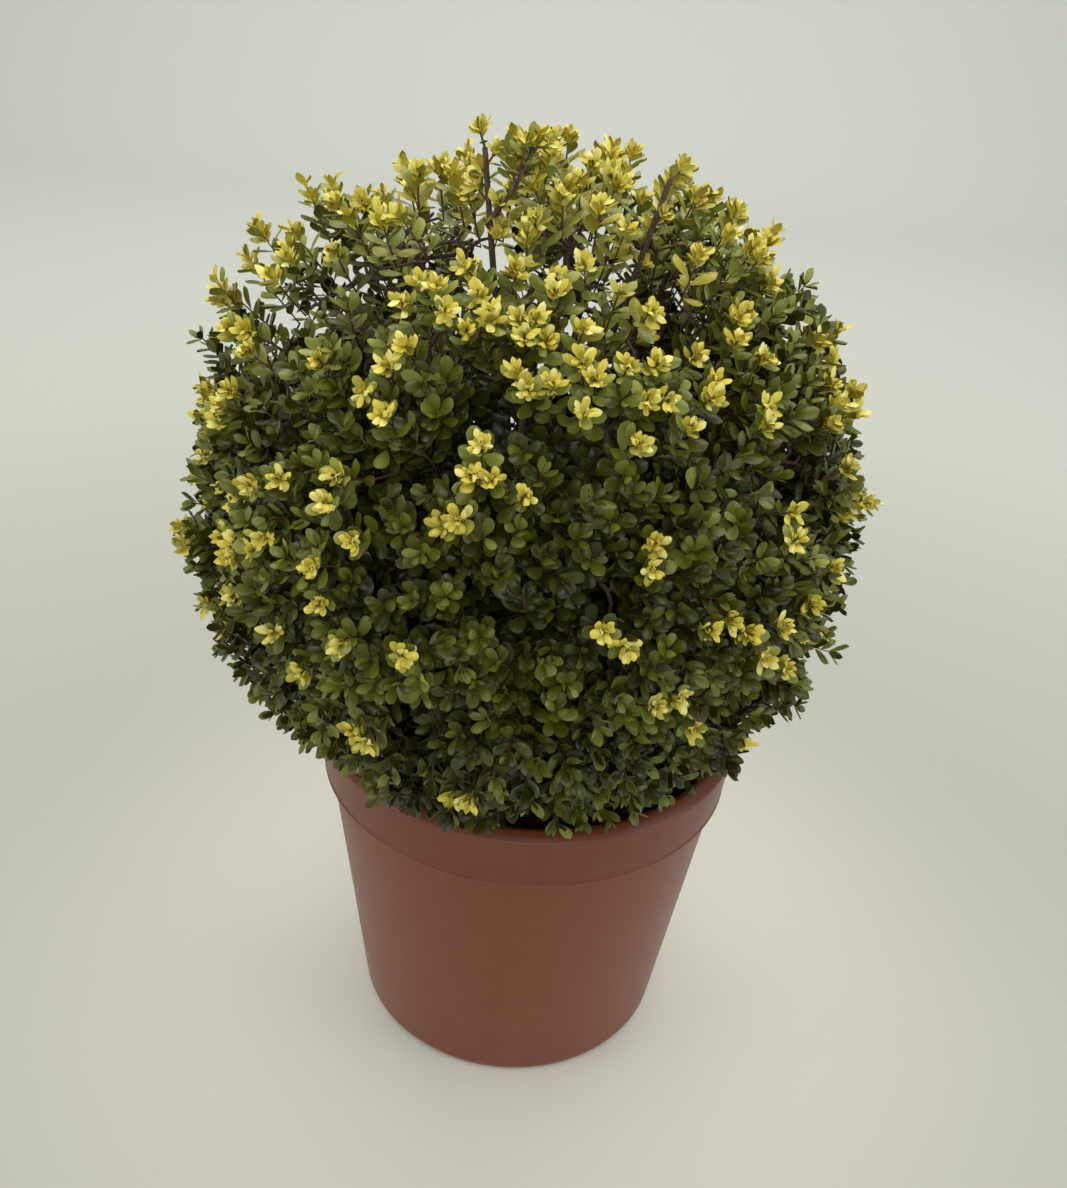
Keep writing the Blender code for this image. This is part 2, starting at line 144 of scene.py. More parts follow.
# Ball of foliage
BALL_MIDDLE = np.array((-0.0125, 0.0, 0.3915))
UP = np.array((0.0, 0.0, 1.0))
GOLDEN_ANGLE = math.pi * (3.0 - math.sqrt(5.0))
PIECE_TRIANGLES = 190_000
RAY_LENGTH = 0.5

# Layers of leafy shoots over the whole ball: how many, how deep their tips lie under its surface,
# how far that depth follows the clumps, its scatter, a shoot's length, its leaves and tip leaves
Layer = namedtuple("Layer", "shoots depth clumps scatter length leaves tip_leaves")
LAYERS = (
    Layer(1900, 0.0100, 0.014, 0.0030, 0.034, 10, 4),
    Layer(1650, 0.0230, 0.012, 0.0040, 0.034, 10, 2),
    Layer(1100, 0.0400, 0.008, 0.0060, 0.036, 8, 0),
    Layer(600, 0.0600, 0.004, 0.0080, 0.040, 6, 0),
)
LEAST_DEPTH = 0.004
LENGTH_RANGE = (0.8, 1.25)
DIRECTION_SCATTER = 0.55
# Tone of the leaves by the height of their direction from the middle of the ball: partly new growth at
# the top and older leaves below, partly painted light on the top and painted shade low down
GROWTH_AND_LIGHT_BY_HEIGHT = ((-0.6, 0.0, 0.42, 0.70, 0.88, 1.0), (0.29, 0.29, 0.32, 0.49, 0.78, 0.96))
SIDE_TONE = 0.06
PATCH_TONE, PATCH_SCALE, PATCH_SHIFT = 0.22, 3.1, Vector((4.0, 1.0, 7.0))
SPECK_TONE, SPECK_SCALE = 0.20, 9.0
TONE_SCATTER = 0.08
# Painted shade: leaves of deeper layers are made darker
SHADE_BY_DEPTH = 0.14
# Share of golden shoots in the outer layer: the least, then what is added everywhere, towards the
# top and towards the sides, and how much of that the front, set with clusters, goes without
GOLD_LEAST, GOLD_ALL, GOLD_TOP, GOLD_SIDES = 0.008, 0.03, 0.12, 0.06
GOLD_FRONT_CUT = 0.85
FRONT_START, FRONT_FULL = -0.1, 0.3
GOLD_LOWEST = -0.45
CLUMP_SCALE = 5.2  # clumps across the ball's radius
CLUMP_SHIFT = Vector((3.0, 8.0, 1.0))
HOLLOW_BELOW = (-0.26, -0.34, -0.46, -0.70)  # clump value under which each layer leaves a hollow
UNDERSIDE = -0.3  # height of a direction below which it counts as the ball's underside
# Places where sprays stand apart: azimuth, elevation, half width in degrees, and how open
OPEN_PLACES = (
    (0, 84, 46, 1.7), (28, 57, 30, 1.7), (-16, 61, 27, 1.6), (-82, 36, 34, 1.6), (-100, 62, 28, 1.1),
    (100, 50, 26, 0.9), (84, 26, 16, 0.6), (180, 42, 50, 1.35), (138, 42, 34, 1.2), (-138, 45, 34, 1.2),
)
OPEN_THINNING = (0.57, 0.66, 0.68, 0.60)  # share of each layer's shoots left out there
OPEN_SINK = (0.005, 0.019, 0.028, 0.022)  # how much deeper each layer lies there
OPEN_CORE = 0.45  # share of the half width over which a place is fully open

# Shoots
SHOOT_RISE = 0.42  # how much shoots turn upwards against straight outwards
UNDERSIDE_RISE = 0.75  # how much of that is left on the underside
SHOOT_SPREAD = 0.30
SHOOT_RADIUS = 0.00065
SHOOT_TAPER = (1.1, 1.05, 0.9, 0.6)
SHOOT_SIDES = 4
SHOOT_TOP, SHOOT_BASE = 0.55, 0.45  # shares of its length above and below its bend
SHOOT_HEADING, SHOOT_OUTWARD = 0.55, 0.75  # what its lower part follows
RIM_MARGIN = 0.012  # a tip over the pot, or this near outside its rim, is lifted above the rim
RIM_CLEARANCE = 0.006

# Twigs
GROWTH_STEP = 0.007
GROWTH_REACH = 0.085
GROWTH_ARRIVE = 0.0095
GROWTH_ROUNDS = 90
GROWTH_INERTIA = 0.35
GROWTH_WANDER = 0.10
TWIG_SIDES = 5
TWIG_RADIUS = 0.00075
TWIG_LEAST = 0.8
TWIG_AT_BOUGH = 0.97  # thickest twig against the bough's end that it grows on
TWIG_JOIN = 2.45  # pipe rule: radius ** TWIG_JOIN adds up where twigs meet

# Shoots on a stem's end and along its side: how many, lean, length, leaves and tone
StemShoot = namedtuple("StemShoot", "count lean length leaves tone")
STEM_END = StemShoot(7, (0.3, 1.2), (0.005, 0.011), 2, 0.95)
STEM_SIDE = StemShoot(5, (0.8, 1.4), (0.018, 0.028), 4, 0.78)
STEM_SIDE_SPAN = (0.30, 0.72)
STEM_SHOOT_FOOT, STEM_SHOOT_BEND = 0.1, 0.5
STEM_TIP_LEAVES = 2
STEM_LEAF_SCALE = 0.72

# Clusters of golden rosettes: azimuth from the front towards the right, elevation and number
GOLD_CLUSTERS = (
    (9, 74, 9), (9, 42, 7), (-21, 51, 6), (72, 55, 6), (23, 36, 5), (-28, 34, 5), (75, 71, 5),
    (-67, 46, 4), (-64, 57, 4), (5, 55, 4), (38, 39, 4), (-2, 40, 3), (65, 29, 4), (-3, 47, 3),
    (-59, 23, 4), (32, 5, 3), (-62, 34, 3), (20, 14, 2), (-7, 26, 2), (42, 45, 3), (-41, 7, 3),
    (-8, 20, 2), (-12, 45, 2), (1, 24, 1), (45, 31, 2), (-28, 22, 2), (56, 48, 2), (-35, 70, 2),
    (50, 40, 1), (45, 18, 2), (-22, 41, 1), (-53, -7, 2), (-38, 36, 1), (16, 3, 1), (-48, 13, 2),
    (58, 5, 1), (42, 2, 1), (-27, 4, 1), (-52, -15, 1), (31, -14, 1), (-5, -29, 2), (22, -7, 1),
    (-42, 23, 1), (-43, 16, 1), (-50, 6, 1), (-57, -3, 2), (-37, 19, 1), (-29, 9, 1), (-23, 14, 1),
    (-37, -5, 1), (-60, 10, 2), (-66, 0, 2), (-70, 15, 2), (-62, -12, 1), (72, 13, 2), (62, 20, 1),
    (58, -8, 1), (50, 2, 1), (66, -5, 1), (74, 25, 2), (70, 38, 2), (-6, 30, 1), (25, 49, 1),
    (-5, 66, 1), (-44, 60, 2), (-14, 60, 1), (49, 58, 1), (13, 6, 1), (-10, 65, 2), (32, 66, 2),
    (60, 68, 3), (-60, 72, 3), (120, 75, 3), (-120, 75, 3), (180, 80, 3), (-30, 80, 2), (40, 80, 2),
    (-32, -10, 1), (-14, 0, 1), (-24, -18, 2), (-23, -1, 1), (-46, 4, 1), (47, -8, 1), (40, -3, 1),
    (49, 3, 1), (25, -6, 1),
)
CLUSTER_SPREAD = 0.0105
CLUSTER_SCATTER = (0.85, 1.2)
CLUSTER_RADIUS = 0.2  # distance from the ball's middle at which they spread by that
CLUSTER_SINK = (0.0010, 0.0060)
CLUSTER_RISE, CLUSTER_LEAN = 0.25, 0.18
CLUSTER_TONE = 0.1
CLUSTER_SHOOT = {"length": 0.030, "leaves": 8, "tip_leaves": 4}

# Sprays that stand out of the ball: azimuth, elevation, reach of their leaves from the middle of
# the ball, and whether they are golden
LEADING_SPRAYS = (
    (49, -33, 0.219, 0), (65, -13, 0.219, 0), (77, 9, 0.217, 1), (79, 27, 0.214, 1),
    (88, 35, 0.218, 1), (92, 43, 0.215, 0), (96, 52, 0.219, 1), (109, 68, 0.220, 1),
    (107, 80, 0.213, 1), (-144, 80, 0.218, 1), (-94, 67, 0.214, 1), (-94, 52, 0.228, 1),
    (-89, 43, 0.229, 1), (-84, 34, 0.229, 1), (-78, 27, 0.222, 0), (-75, 21, 0.212, 1),
    (-65, -7, 0.213, 0), (-64, -14, 0.215, 1), (-59, -20, 0.214, 0), (-42, -32, 0.212, 0),
    (150, 45, 0.217, 1), (-150, 30, 0.216, 0), (-120, 15, 0.215, 1), (125, 5, 0.215, 0),
    (180, 60, 0.217, 1), (160, -10, 0.214, 0), (-170, 0, 0.214, 1), (14, -45, 0.216, 0),
    (20, -45, 0.216, 0), (26, -45, 0.217, 0), (32, -44, 0.217, 0), (39, -42, 0.215, 0),
    (57, -20, 0.220, 0),
)
SPRAY_SHOOTS = 3
SPRAY_LEAF_REACH = 0.0095  # how far the leaves stand past a shoot's tip
SPRAY_STEP = 0.007  # how much less far each next shoot reaches
SPRAY_SPREAD = 0.055
SPRAY_RISE, SPRAY_LEAN = 0.30, 0.12
SPRAY_LENGTH, SPRAY_SHORTER = 0.060, 0.012
SPRAY_LEAVES, SPRAY_FEWER = 15, 3
SPRAY_TIP_LEAVES = 4
SPRAY_TONE = 0.06

# Full-grown leaf and rosette leaf: length, width, and how high it is domed
LEAF_LENGTH = 0.0118
LEAF_WIDTH = 0.0070
LEAF_DOME = 0.0017
ROSETTE_LENGTH = 0.0070
ROSETTE_WIDTH = 0.0038
ROSETTE_DOME = 0.0018
ROSETTE_LEAVES = 15
LEAF_OUTLINE = ((0.0, 0.16), (0.25, 0.83), (0.5, 1.0), (0.75, 0.80), (1.0, 0.38))
LEAF_TRIANGLES = 4 * (len(LEAF_OUTLINE) - 1)
LEAF_TIP = 0.06
LEAF_CROWDING = 1.55  # how much closer the rows lie towards the tip
LEAF_CREST, LEAF_BOW = 1.35, 2.6  # where the bow along the leaf ends, and how strong it is
LEAF_ROUGHNESS = 0.30
LEAF_GLOSS = 0.36

# How leaves sit on a shoot: place from its foot at 0 to its tip at 1, opening in degrees, and size.
# The leaves of a rosette make a star with outer and inner leaves
STEM_PLACES = (0.16, 0.76)
YOUNG_PLACE = 0.94
STAR_PLACE, STAR_DEPTH = 0.99, 0.20
STEM_OPENING = (74.0, 24.0)
YOUNG_OPENING = (28.0, 62.0)
OUTER_OPENING, INNER_OPENING = (34.0, 82.0), (6.0, 34.0)
OPENING_SCATTER = 7.0
TURN_SCATTER = 0.22
FACE_LIGHT, FACE_SCATTER = 0.5, 0.12
LIGHT_RISE = 0.8
STEM_SIZE, STEM_SIZE_FALL, STEM_SIZE_PEAK = 1.06, 0.45, 0.45
YOUNG_SIZE = (0.60, 0.85)
OUTER_SIZE, INNER_SIZE = (0.70, 1.22), (0.55, 0.9)
SIZE_RANGE = (0.82, 1.14)
WIDTH_RANGE = (0.86, 1.12)
DOME_RANGE = (0.5, 1.4)
TIP_TONE, TIP_TONE_FROM = 0.28, 0.68
LEAF_TONE_SCATTER = 0.11
GOLD_TIP_TONE, GOLD_TIP_FROM = 0.24, 0.74
LIGHTEST_GREEN = 1.05
STAR_TONE, STAR_TONE_SCATTER = 1.44, 0.20
# Leaves near the rim: height they keep above it, how far outside it that holds, and the share of
# them that hangs over it all the same
RIM_LEAF_HEIGHT, RIM_LEAF_MARGIN, RIM_HANGING = 0.004, 0.022, 0.06
STEEPEST = 0.9

# Leaf colours from the shaded inside to new growth, as sRGB, with the tone at which each one ends
LEAF_TINTS = (
    ("shade_green", (43, 45, 9), 0.14),
    ("deep_green", (58, 62, 11), 0.28),
    ("mid_green", (76, 80, 15), 0.42),
    ("olive_green", (95, 100, 24), 0.57),
    ("light_olive", (118, 126, 51), 0.74),
    ("yellow_green", (148, 151, 66), 1.00),
    ("old_gold", (180, 168, 58), 1.26),
    ("gold", (218, 203, 80), 1.56),
    ("lemon", (234, 225, 128), 9.00),
)


def linear(srgb):
    """Linear colour, with full alpha, of an sRGB one given in 0 to 255."""
    out = []
    for value in srgb:
        share = value / 255.0
        out.append(share / 12.92 if share <= 0.04045 else ((share + 0.055) / 1.055) ** 2.4)
    return (*out, 1.0)


# Node trees


class Wire:
    """A node socket that takes part in sums."""

    def __init__(self, sheet, socket):
        self.sheet, self.socket = sheet, socket

    def _math(self, operation, first, second=0.0):
        return self.sheet.node("ShaderNodeMath", {"operation": operation}, {0: first, 1: second})

    def __add__(self, other):
        return self._math("ADD", self, other)

    __radd__ = __add__

    def __sub__(self, other):
        return self._math("SUBTRACT", self, other)

    def __rsub__(self, other):
        return self._math("SUBTRACT", other, self)

    def __mul__(self, other):
        return self._math("MULTIPLY", self, other)

    __rmul__ = __mul__

    def __pow__(self, other):
        return self._math("POWER", self, other)

    def __rpow__(self, other):
        return self._math("POWER", other, self)

    def __abs__(self):
        return self._math("ABSOLUTE", self)


class Sheet:
    """A node tree that is built by calls."""

    def __init__(self, tree):
        self.tree = tree

    def set(self, socket, value):
        """Sets a socket, or links it."""
        if isinstance(value, Wire):
            self.tree.links.new(value.socket, socket)
        else:
            socket.default_value = value

    def node(self, kind, settings=None, inputs=None, output=0):
        """Adds a node: its settings first, then the values or links of its sockets."""
        made = self.tree.nodes.new(kind)
        for name, value in (settings or {}).items():
            if name == "colours":
                self._set_colours(made.color_ramp.elements, value)
            elif name == "interpolation":
                made.color_ramp.interpolation = value
            elif name == "curve":
                self._set_curve(made.mapping, value)
            else:
                setattr(made, name, value)
        for name, value in (inputs or {}).items():
            self.set(made.inputs[name], value)
        return Wire(self, made.outputs[output])

    @staticmethod
    def _set_colours(elements, stops):
        while len(elements) < len(stops):
            elements.new(0.5)
        for element, (place, srgb) in zip(elements, stops):
            element.position = place
            element.color = linear(srgb)

    @staticmethod
    def _set_curve(mapping, stops):
        points = mapping.curves[0].points
        while len(points) < len(stops):
            points.new(0.5, 0.5)
        for point, stop in zip(points, stops):
            point.location = stop
            point.handle_type = "VECTOR"
        mapping.update()


class Finish(Sheet):
    """A material whose Principled shader is fed by node expressions. Colours are given as sRGB."""

    def __init__(self, name, srgb, roughness, **constants):
        self.material = bpy.data.materials.new(name)
        self.material.use_nodes = True
        super().__init__(self.material.node_tree)
        self.shader = self.tree.nodes["Principled BSDF"]
        self.feed("Base Color", linear(srgb))
        self.feed("Roughness", roughness)
        for socket, value in constants.items():
            self.feed(socket.replace("_", " "), value)

    def feed(self, socket, value):
        """Sets a socket of the shader, or links it."""
        self.set(self.shader.inputs[socket], value)

    def place(self):
        """Where a point lies in the object's own coordinates."""
        return self.node("ShaderNodeTexCoord", output="Object")

    def drawn_out(self, place, scales):
        """The place scaled along each axis by its own amount, so that a grain runs in streaks."""
        return self.node("ShaderNodeMapping", inputs={"Vector": place, "Scale": scales})

    def grain(self, place, scale, detail, roughness, distortion=0.0):
        """Noise from 0 to 1."""
        values = {
            "Vector": place, "Scale": scale, "Detail": detail, "Roughness": roughness,
            "Distortion": distortion,
        }
        return self.node("ShaderNodeTexNoise", inputs=values, output="Fac")

    def ramp(self, value, stops, way="LINEAR"):
        """Colours along a value from 0 to 1."""
        settings = {"interpolation": way, "colours": stops}
        return self.node("ShaderNodeValToRGB", settings, {"Fac": value})

    def clip(self, value, low, high, out_low=0.0, out_high=1.0):
        """Maps low..high to out_low..out_high, and holds it there."""
        values = {
            "Value": value, "From Min": low, "From Max": high, "To Min": out_low, "To Max": out_high,
        }
        return self.node("ShaderNodeMapRange", {"clamp": True}, values)

    def blend(self, mask, under, over):
        """Mixes two colours, or links of colours, by a mask."""
        under, over = (side if isinstance(side, Wire) else linear(side) for side in (under, over))
        return self.node("ShaderNodeMix", {"data_type": "RGBA"}, {0: mask, 6: under, 7: over}, 2)

    def relief(self, height, distance):
        """Bumps the surface by a height, in metres at its full value."""
        values = {"Height": height, "Distance": distance}
        self.feed("Normal", self.node("ShaderNodeBump", inputs=values, output="Normal"))


def pot_plastic():
    """Satin terracotta-brown plastic, with faint flow streaks, scuffs and a little dust, and painted
    shade of the foliage on the collar.
    """
    made = Finish("pot_plastic", (113, 54, 31), 0.40)
    place = made.place()
    height = made.node("ShaderNodeSeparateXYZ", inputs={"Vector": place}, output="Z")
    streaks = made.grain(made.drawn_out(place, (30.0, 30.0, 260.0)), 1.0, 3.0, 0.6)
    clouds = made.grain(place, 14.0, 3.0, 0.5)
    dust = made.clip(made.grain(place, 42.0, 5.0, 0.65), 0.52, 0.80)
    low = made.clip(height, 0.0, 0.10, 1.0, 0.35)
    collar = made.clip(height, COLLAR_FOOT - COLLAR_SHADE_BLEND, COLLAR_FOOT + COLLAR_SHADE_BLEND)
    body = made.blend(clouds, (108, 50, 24), (118, 57, 29))
    body = made.blend(streaks * 0.25, body, (136, 80, 50))
    # Painted shade: the collar is darkened where the foliage above shades it
    body = made.blend(collar * 0.4, body, (94, 43, 21))
    made.feed("Base Color", made.blend(dust * low * 0.30, body, (150, 118, 92)))
    made.feed("Roughness", made.clip(clouds + dust * 0.6, 0.3, 1.2, 0.34, 0.50))
    made.relief(streaks * 0.6 + made.grain(place, 900.0, 2.0, 0.5) * 0.4, 0.00012)
    return made.material


def damp_soil():
    """Dark peat with paler fibres and grains."""
    made = Finish("damp_soil", (48, 36, 28), 0.92)
    place = made.place()
    lumps = made.grain(place, 160.0, 6.0, 0.65)
    fibres = made.clip(made.grain(place, 420.0, 3.0, 0.7, 0.8), 0.60, 0.72)
    body = made.ramp(lumps, ((0.25, (24, 17, 13)), (0.55, (54, 39, 29)), (0.80, (88, 66, 48))))
    made.feed("Base Color", made.blend(fibres * 0.5, body, (120, 94, 68)))
    made.relief(lumps, 0.0012)
    return made.material


def holly_bark():
    """Grey-brown bark with paler breathing pores and shallow furrows along the limb."""
    made = Finish("holly_bark", (84, 68, 56), 0.80)
    place = made.place()
    furrows = made.grain(made.drawn_out(place, (420.0, 420.0, 110.0)), 1.0, 5.0, 0.65)
    pores = made.clip(made.grain(place, 520.0, 1.0, 0.4), 0.66, 0.74)
    body = made.ramp(furrows, ((0.28, (44, 33, 28)), (0.52, (84, 66, 54)), (0.75, (122, 101, 84))))
    made.feed("Base Color", made.blend(pores * 0.6, body, (150, 130, 108)))
    made.feed("Roughness", made.clip(furrows, 0.3, 0.7, 0.88, 0.70))
    made.relief(furrows + pores * 0.3, 0.0006)
    return made.material


def studio_floor():
    """Matt off-white paper with painted light and shade: palest round the foot of the pot, where the
    ball's shadow falls, darker further out where the lamps light the floor most, and lighter again far
    off.
    """
    made = Finish("studio_floor", (206, 206, 197), 0.9)
    far = made.node("ShaderNodeVectorMath", {"operation": "LENGTH"}, {0: made.place()}, "Value")
    made.feed("Base Color", made.ramp(far * (1 / FLOOR_REACH), FLOOR_PAINTED_LIGHT, "B_SPLINE"))
    return made.material


def plain(name, srgb, roughness, **constants):
    """A material of one colour."""
    return Finish(name, srgb, roughness, **constants).material


# Meshes


def link(name, mesh, material):
    """Puts a finished mesh in the scene as a smooth object of one material."""
    obj = bpy.data.objects.new(name, mesh)
    bpy.context.scene.collection.objects.link(obj)
    mesh.materials.clear()
    mesh.materials.append(material)
    mesh.shade_smooth()
    return obj


def mesh_of(name, points, faces=(), edges=()):
    """A mesh of points with faces or edges."""
    mesh = bpy.data.meshes.new(name)
    mesh.from_pydata([tuple(point) for point in points], list(edges), list(faces))
    mesh.update()
    return mesh


def unit(vectors):
    """The vectors brought to a length of 1."""
    return vectors / np.maximum(np.linalg.norm(vectors, axis=-1, keepdims=True), 1e-9)


def ring(radius, z, sides, middle=(0.0, 0.0), first=0.0):
    """Points spaced evenly round an upright axis. The first one may lie a share of a step on."""
    points = []
    for side in range(sides):
        angle = math.tau * (side + first) / sides
        points.append((middle[0] + radius * math.cos(angle), middle[1] + radius * math.sin(angle), z))
    return points


def ring_faces(first, rings, sides):
    """Faces between rings of points that follow each other from the point numbered first."""
    faces = []
    for low in range(first, first + (rings - 1) * sides, sides):
        high = low + sides
        for side in range(sides):
            after = (side + 1) % sides
            faces.append((low + side, low + after, high + after, high + side))
    return faces


def closed_tube(first, rings, sides):
    """The same with a face over each end."""
    last = first + (rings - 1) * sides
    ends = [tuple(range(start, start + sides)) for start in (first, last)]
    return ring_faces(first, rings, sides) + ends


def faced_outwards(mesh):
    """The closed mesh with its faces turned outwards."""
    shape = bmesh.new()
    shape.from_mesh(mesh)
    bmesh.ops.recalc_face_normals(shape, faces=shape.faces)
    shape.to_mesh(mesh)
    shape.free()
    return mesh


def lathe(name, profile, sides):
    """Closed mesh turned from a profile that starts and ends on the axis."""
    points = [(0.0, 0.0, profile[0][1]), (0.0, 0.0, profile[-1][1])]
    for radius, z in profile[1:-1]:
        points.extend(ring(radius, z, sides))
    first, last = 2, len(points) - sides
    faces = ring_faces(first, len(profile) - 2, sides)
    for side in range(sides):
        after = (side + 1) % sides
        faces.append((0, first + side, first + after))
        faces.append((1, last + after, last + side))
    return faced_outwards(mesh_of(name, points, faces))


def rounded(corners):
    """A profile of corners, each given as radius, height and how far it is rounded."""
    out = [corners[0][:2]]
    for before, corner, after in zip(corners, corners[1:], corners[2:]):
        here = Vector(corner[:2])
        back, forth = Vector(before[:2]) - here, Vector(after[:2]) - here
        trim = min(corner[2], back.length * ROUNDING_SHARE, forth.length * ROUNDING_SHARE)
        start, end = here + back.normalized() * trim, here + forth.normalized() * trim
        for step in range(ROUNDING_STEPS + 1):
            share = step / ROUNDING_STEPS
            out.append(tuple(start.lerp(here, share).lerp(here.lerp(end, share), share)))
    out.append(corners[-1][:2])
    return out


# Twigs and leaves by Geometry Nodes


class Shape(Sheet):
    """A geometry node tree with named inputs."""

    def __init__(self, name):
        super().__init__(bpy.data.node_groups.new(name, "GeometryNodeTree"))
        for way in ("INPUT", "OUTPUT"):
            self.tree.interface.new_socket("Geometry", in_out=way, socket_type="NodeSocketGeometry")
        self.inside = self.tree.nodes.new("NodeGroupInput")
        self.result = self.tree.nodes.new("NodeGroupOutput")

    def given(self, name):
        """What a named input of the tree brings."""
        return Wire(self, self.inside.outputs[name])

    def option(self, name, kind, value=None):
        """Adds a named input to the tree."""
        made = self.tree.interface.new_socket(name, in_out="INPUT", socket_type="NodeSocket" + kind)
        if value is not None:
            made.default_value = value
        return self.given(name)

    def named(self, attribute, kind):
        """An attribute of the points that the tree is given."""
        return self.node(
            "GeometryNodeInputNamedAttribute", {"data_type": kind}, {"Name": attribute}, "Attribute"
        )

    def finish(self, geometry, material):
        """Ends the tree with the instances realized and the material set."""
        realized = self.node("GeometryNodeRealizeInstances", inputs={"Geometry": geometry})
        coated = self.node("GeometryNodeSetMaterial", inputs={"Geometry": realized, "Material": material})
        self.set(self.result.inputs["Geometry"], coated)
        return self.tree


def grown_mesh(name, source, tree, options):
    """The plain mesh that a node tree makes of a source mesh."""
    carrier = bpy.data.objects.new(name + "_points", source)
    bpy.context.scene.collection.objects.link(carrier)
    modifier = carrier.modifiers.new("grow", "NODES")
    modifier.node_group = tree
    for item in tree.interface.items_tree:
        if item.item_type == "SOCKET" and item.in_out == "INPUT" and item.name in options:
            modifier[item.identifier] = options[item.name]
    graph = bpy.context.evaluated_depsgraph_get()
    mesh = bpy.data.meshes.new_from_object(carrier.evaluated_get(graph))
    mesh.name = name
    bpy.data.objects.remove(carrier)
    return mesh


def leaf_tree(name, length, width, dome):
    """Sets a domed leaf with a rounded tip on every point, turned by its along and face vectors."""
    shape = Shape(name)
    length = shape.option("Length", "Float", length)
    width = shape.option("Width", "Float", width)
    dome = shape.option("Dome", "Float", dome)
    tip = shape.option("Tip", "Float", LEAF_TIP)
    material = shape.option("Material", "Material")
    grid = shape.node("GeometryNodeMeshGrid", inputs={
        "Size X": 2.0, "Size Y": 1.0, "Vertices X": 3, "Vertices Y": len(LEAF_OUTLINE),
    })
    spot = shape.node("GeometryNodeInputPosition")
    across = shape.node("ShaderNodeSeparateXYZ", inputs={"Vector": spot}, output="X")
    row = shape.node("ShaderNodeSeparateXYZ", inputs={"Vector": spot}, output="Y") + 0.5
    outline = shape.node("ShaderNodeFloatCurve", {"curve": LEAF_OUTLINE}, {"Value": row}, "Value")
    along = 1.0 - (1.0 - row) ** LEAF_CROWDING
    off = abs(across)
    place = shape.node("ShaderNodeCombineXYZ", inputs={
        "X": across * outline * (width * 0.5),
        "Y": (along + tip * (1.0 - off) * row) * length,
        "Z": dome * (along * (LEAF_CREST - along) * LEAF_BOW - off * outline),
    })
    leaf = shape.node("GeometryNodeSetPosition", inputs={"Geometry": grid, "Position": place})
    turn = shape.node("FunctionNodeAxesToRotation", {"primary_axis": "Y", "secondary_axis": "Z"}, {
        "Primary Axis": shape.named("along", "FLOAT_VECTOR"),
        "Secondary Axis": shape.named("face", "FLOAT_VECTOR"),
    })
    set_out = shape.node("GeometryNodeInstanceOnPoints", inputs={
        "Points": shape.given("Geometry"), "Instance": leaf, "Rotation": turn,
        "Scale": shape.named("size", "FLOAT_VECTOR"),
    })
    return shape.finish(set_out, material)


def twig_tree():
    """Turns a mesh of edges with a thickness at each point into round twigs."""
    shape = Shape("twigs_from_lines")
    sides = shape.option("Sides", "Int", TWIG_SIDES)
    material = shape.option("Material", "Material")
    line = shape.node("GeometryNodeMeshToCurve", inputs={"Mesh": shape.given("Geometry")})
    ring_line = shape.node(
        "GeometryNodeCurvePrimitiveCircle", inputs={"Resolution": sides, "Radius": 1.0}
    )
    twig = shape.node("GeometryNodeCurveToMesh", inputs={
        "Curve": line, "Profile Curve": ring_line, "Scale": shape.named("thickness", "FLOAT"),
        "Fill Caps": True,
    })
    return shape.finish(twig, material)


def add_attribute(mesh, name, kind, values):
    """Gives each point of the mesh its value."""
    layer = mesh.attributes.new(name, kind, "POINT")
    field = "vector" if kind == "FLOAT_VECTOR" else "value"
    layer.data.foreach_set(field, np.asarray(values, dtype=np.float32).ravel())


# Limbs that the frame holds


def rings_of(node, sides):
    """Centres and radii of a limb's rings, read from its CAD mesh from foot to tip."""
    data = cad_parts[node].data
    spots = np.zeros(len(data.vertices) * 3)
    data.vertices.foreach_get("co", spots)
    spots = np.unique(np.round(spots.reshape(-1, 3), 6), axis=0)
    middle = spots.mean(axis=0)
    _, _, axes = np.linalg.svd(spots - middle, full_matrices=False)
    chord = axes[0] if axes[0][2] > 0 else -axes[0]
    ordered = spots[np.argsort((spots - middle) @ chord)]
    groups = ordered[: len(ordered) // sides * sides].reshape(-1, sides, 3)
    centres = groups.mean(axis=1)
    radii = np.linalg.norm(groups - centres[:, None], axis=2).mean(axis=1)
    return centres, radii


def smooth_line(points, values, count):
    """Points and values resampled evenly along a Catmull-Rom curve."""
    padded = np.vstack((2 * points[0] - points[1], points, 2 * points[-1] - points[-2]))
    where = np.linspace(0.0, len(points) - 1.0, count)
    spans = np.minimum(where.astype(int), len(points) - 2)
    share = (where - spans)[:, None]
    p0, p1, p2, p3 = (padded[spans + offset] for offset in range(4))
    curve = 0.5 * (
        2 * p1 + (p2 - p0) * share + (2 * p0 - 5 * p1 + 4 * p2 - p3) * share ** 2
        + (3 * p1 - p0 - 3 * p2 + p3) * share ** 3
    )
    return curve, np.interp(where, np.arange(len(points)), values)


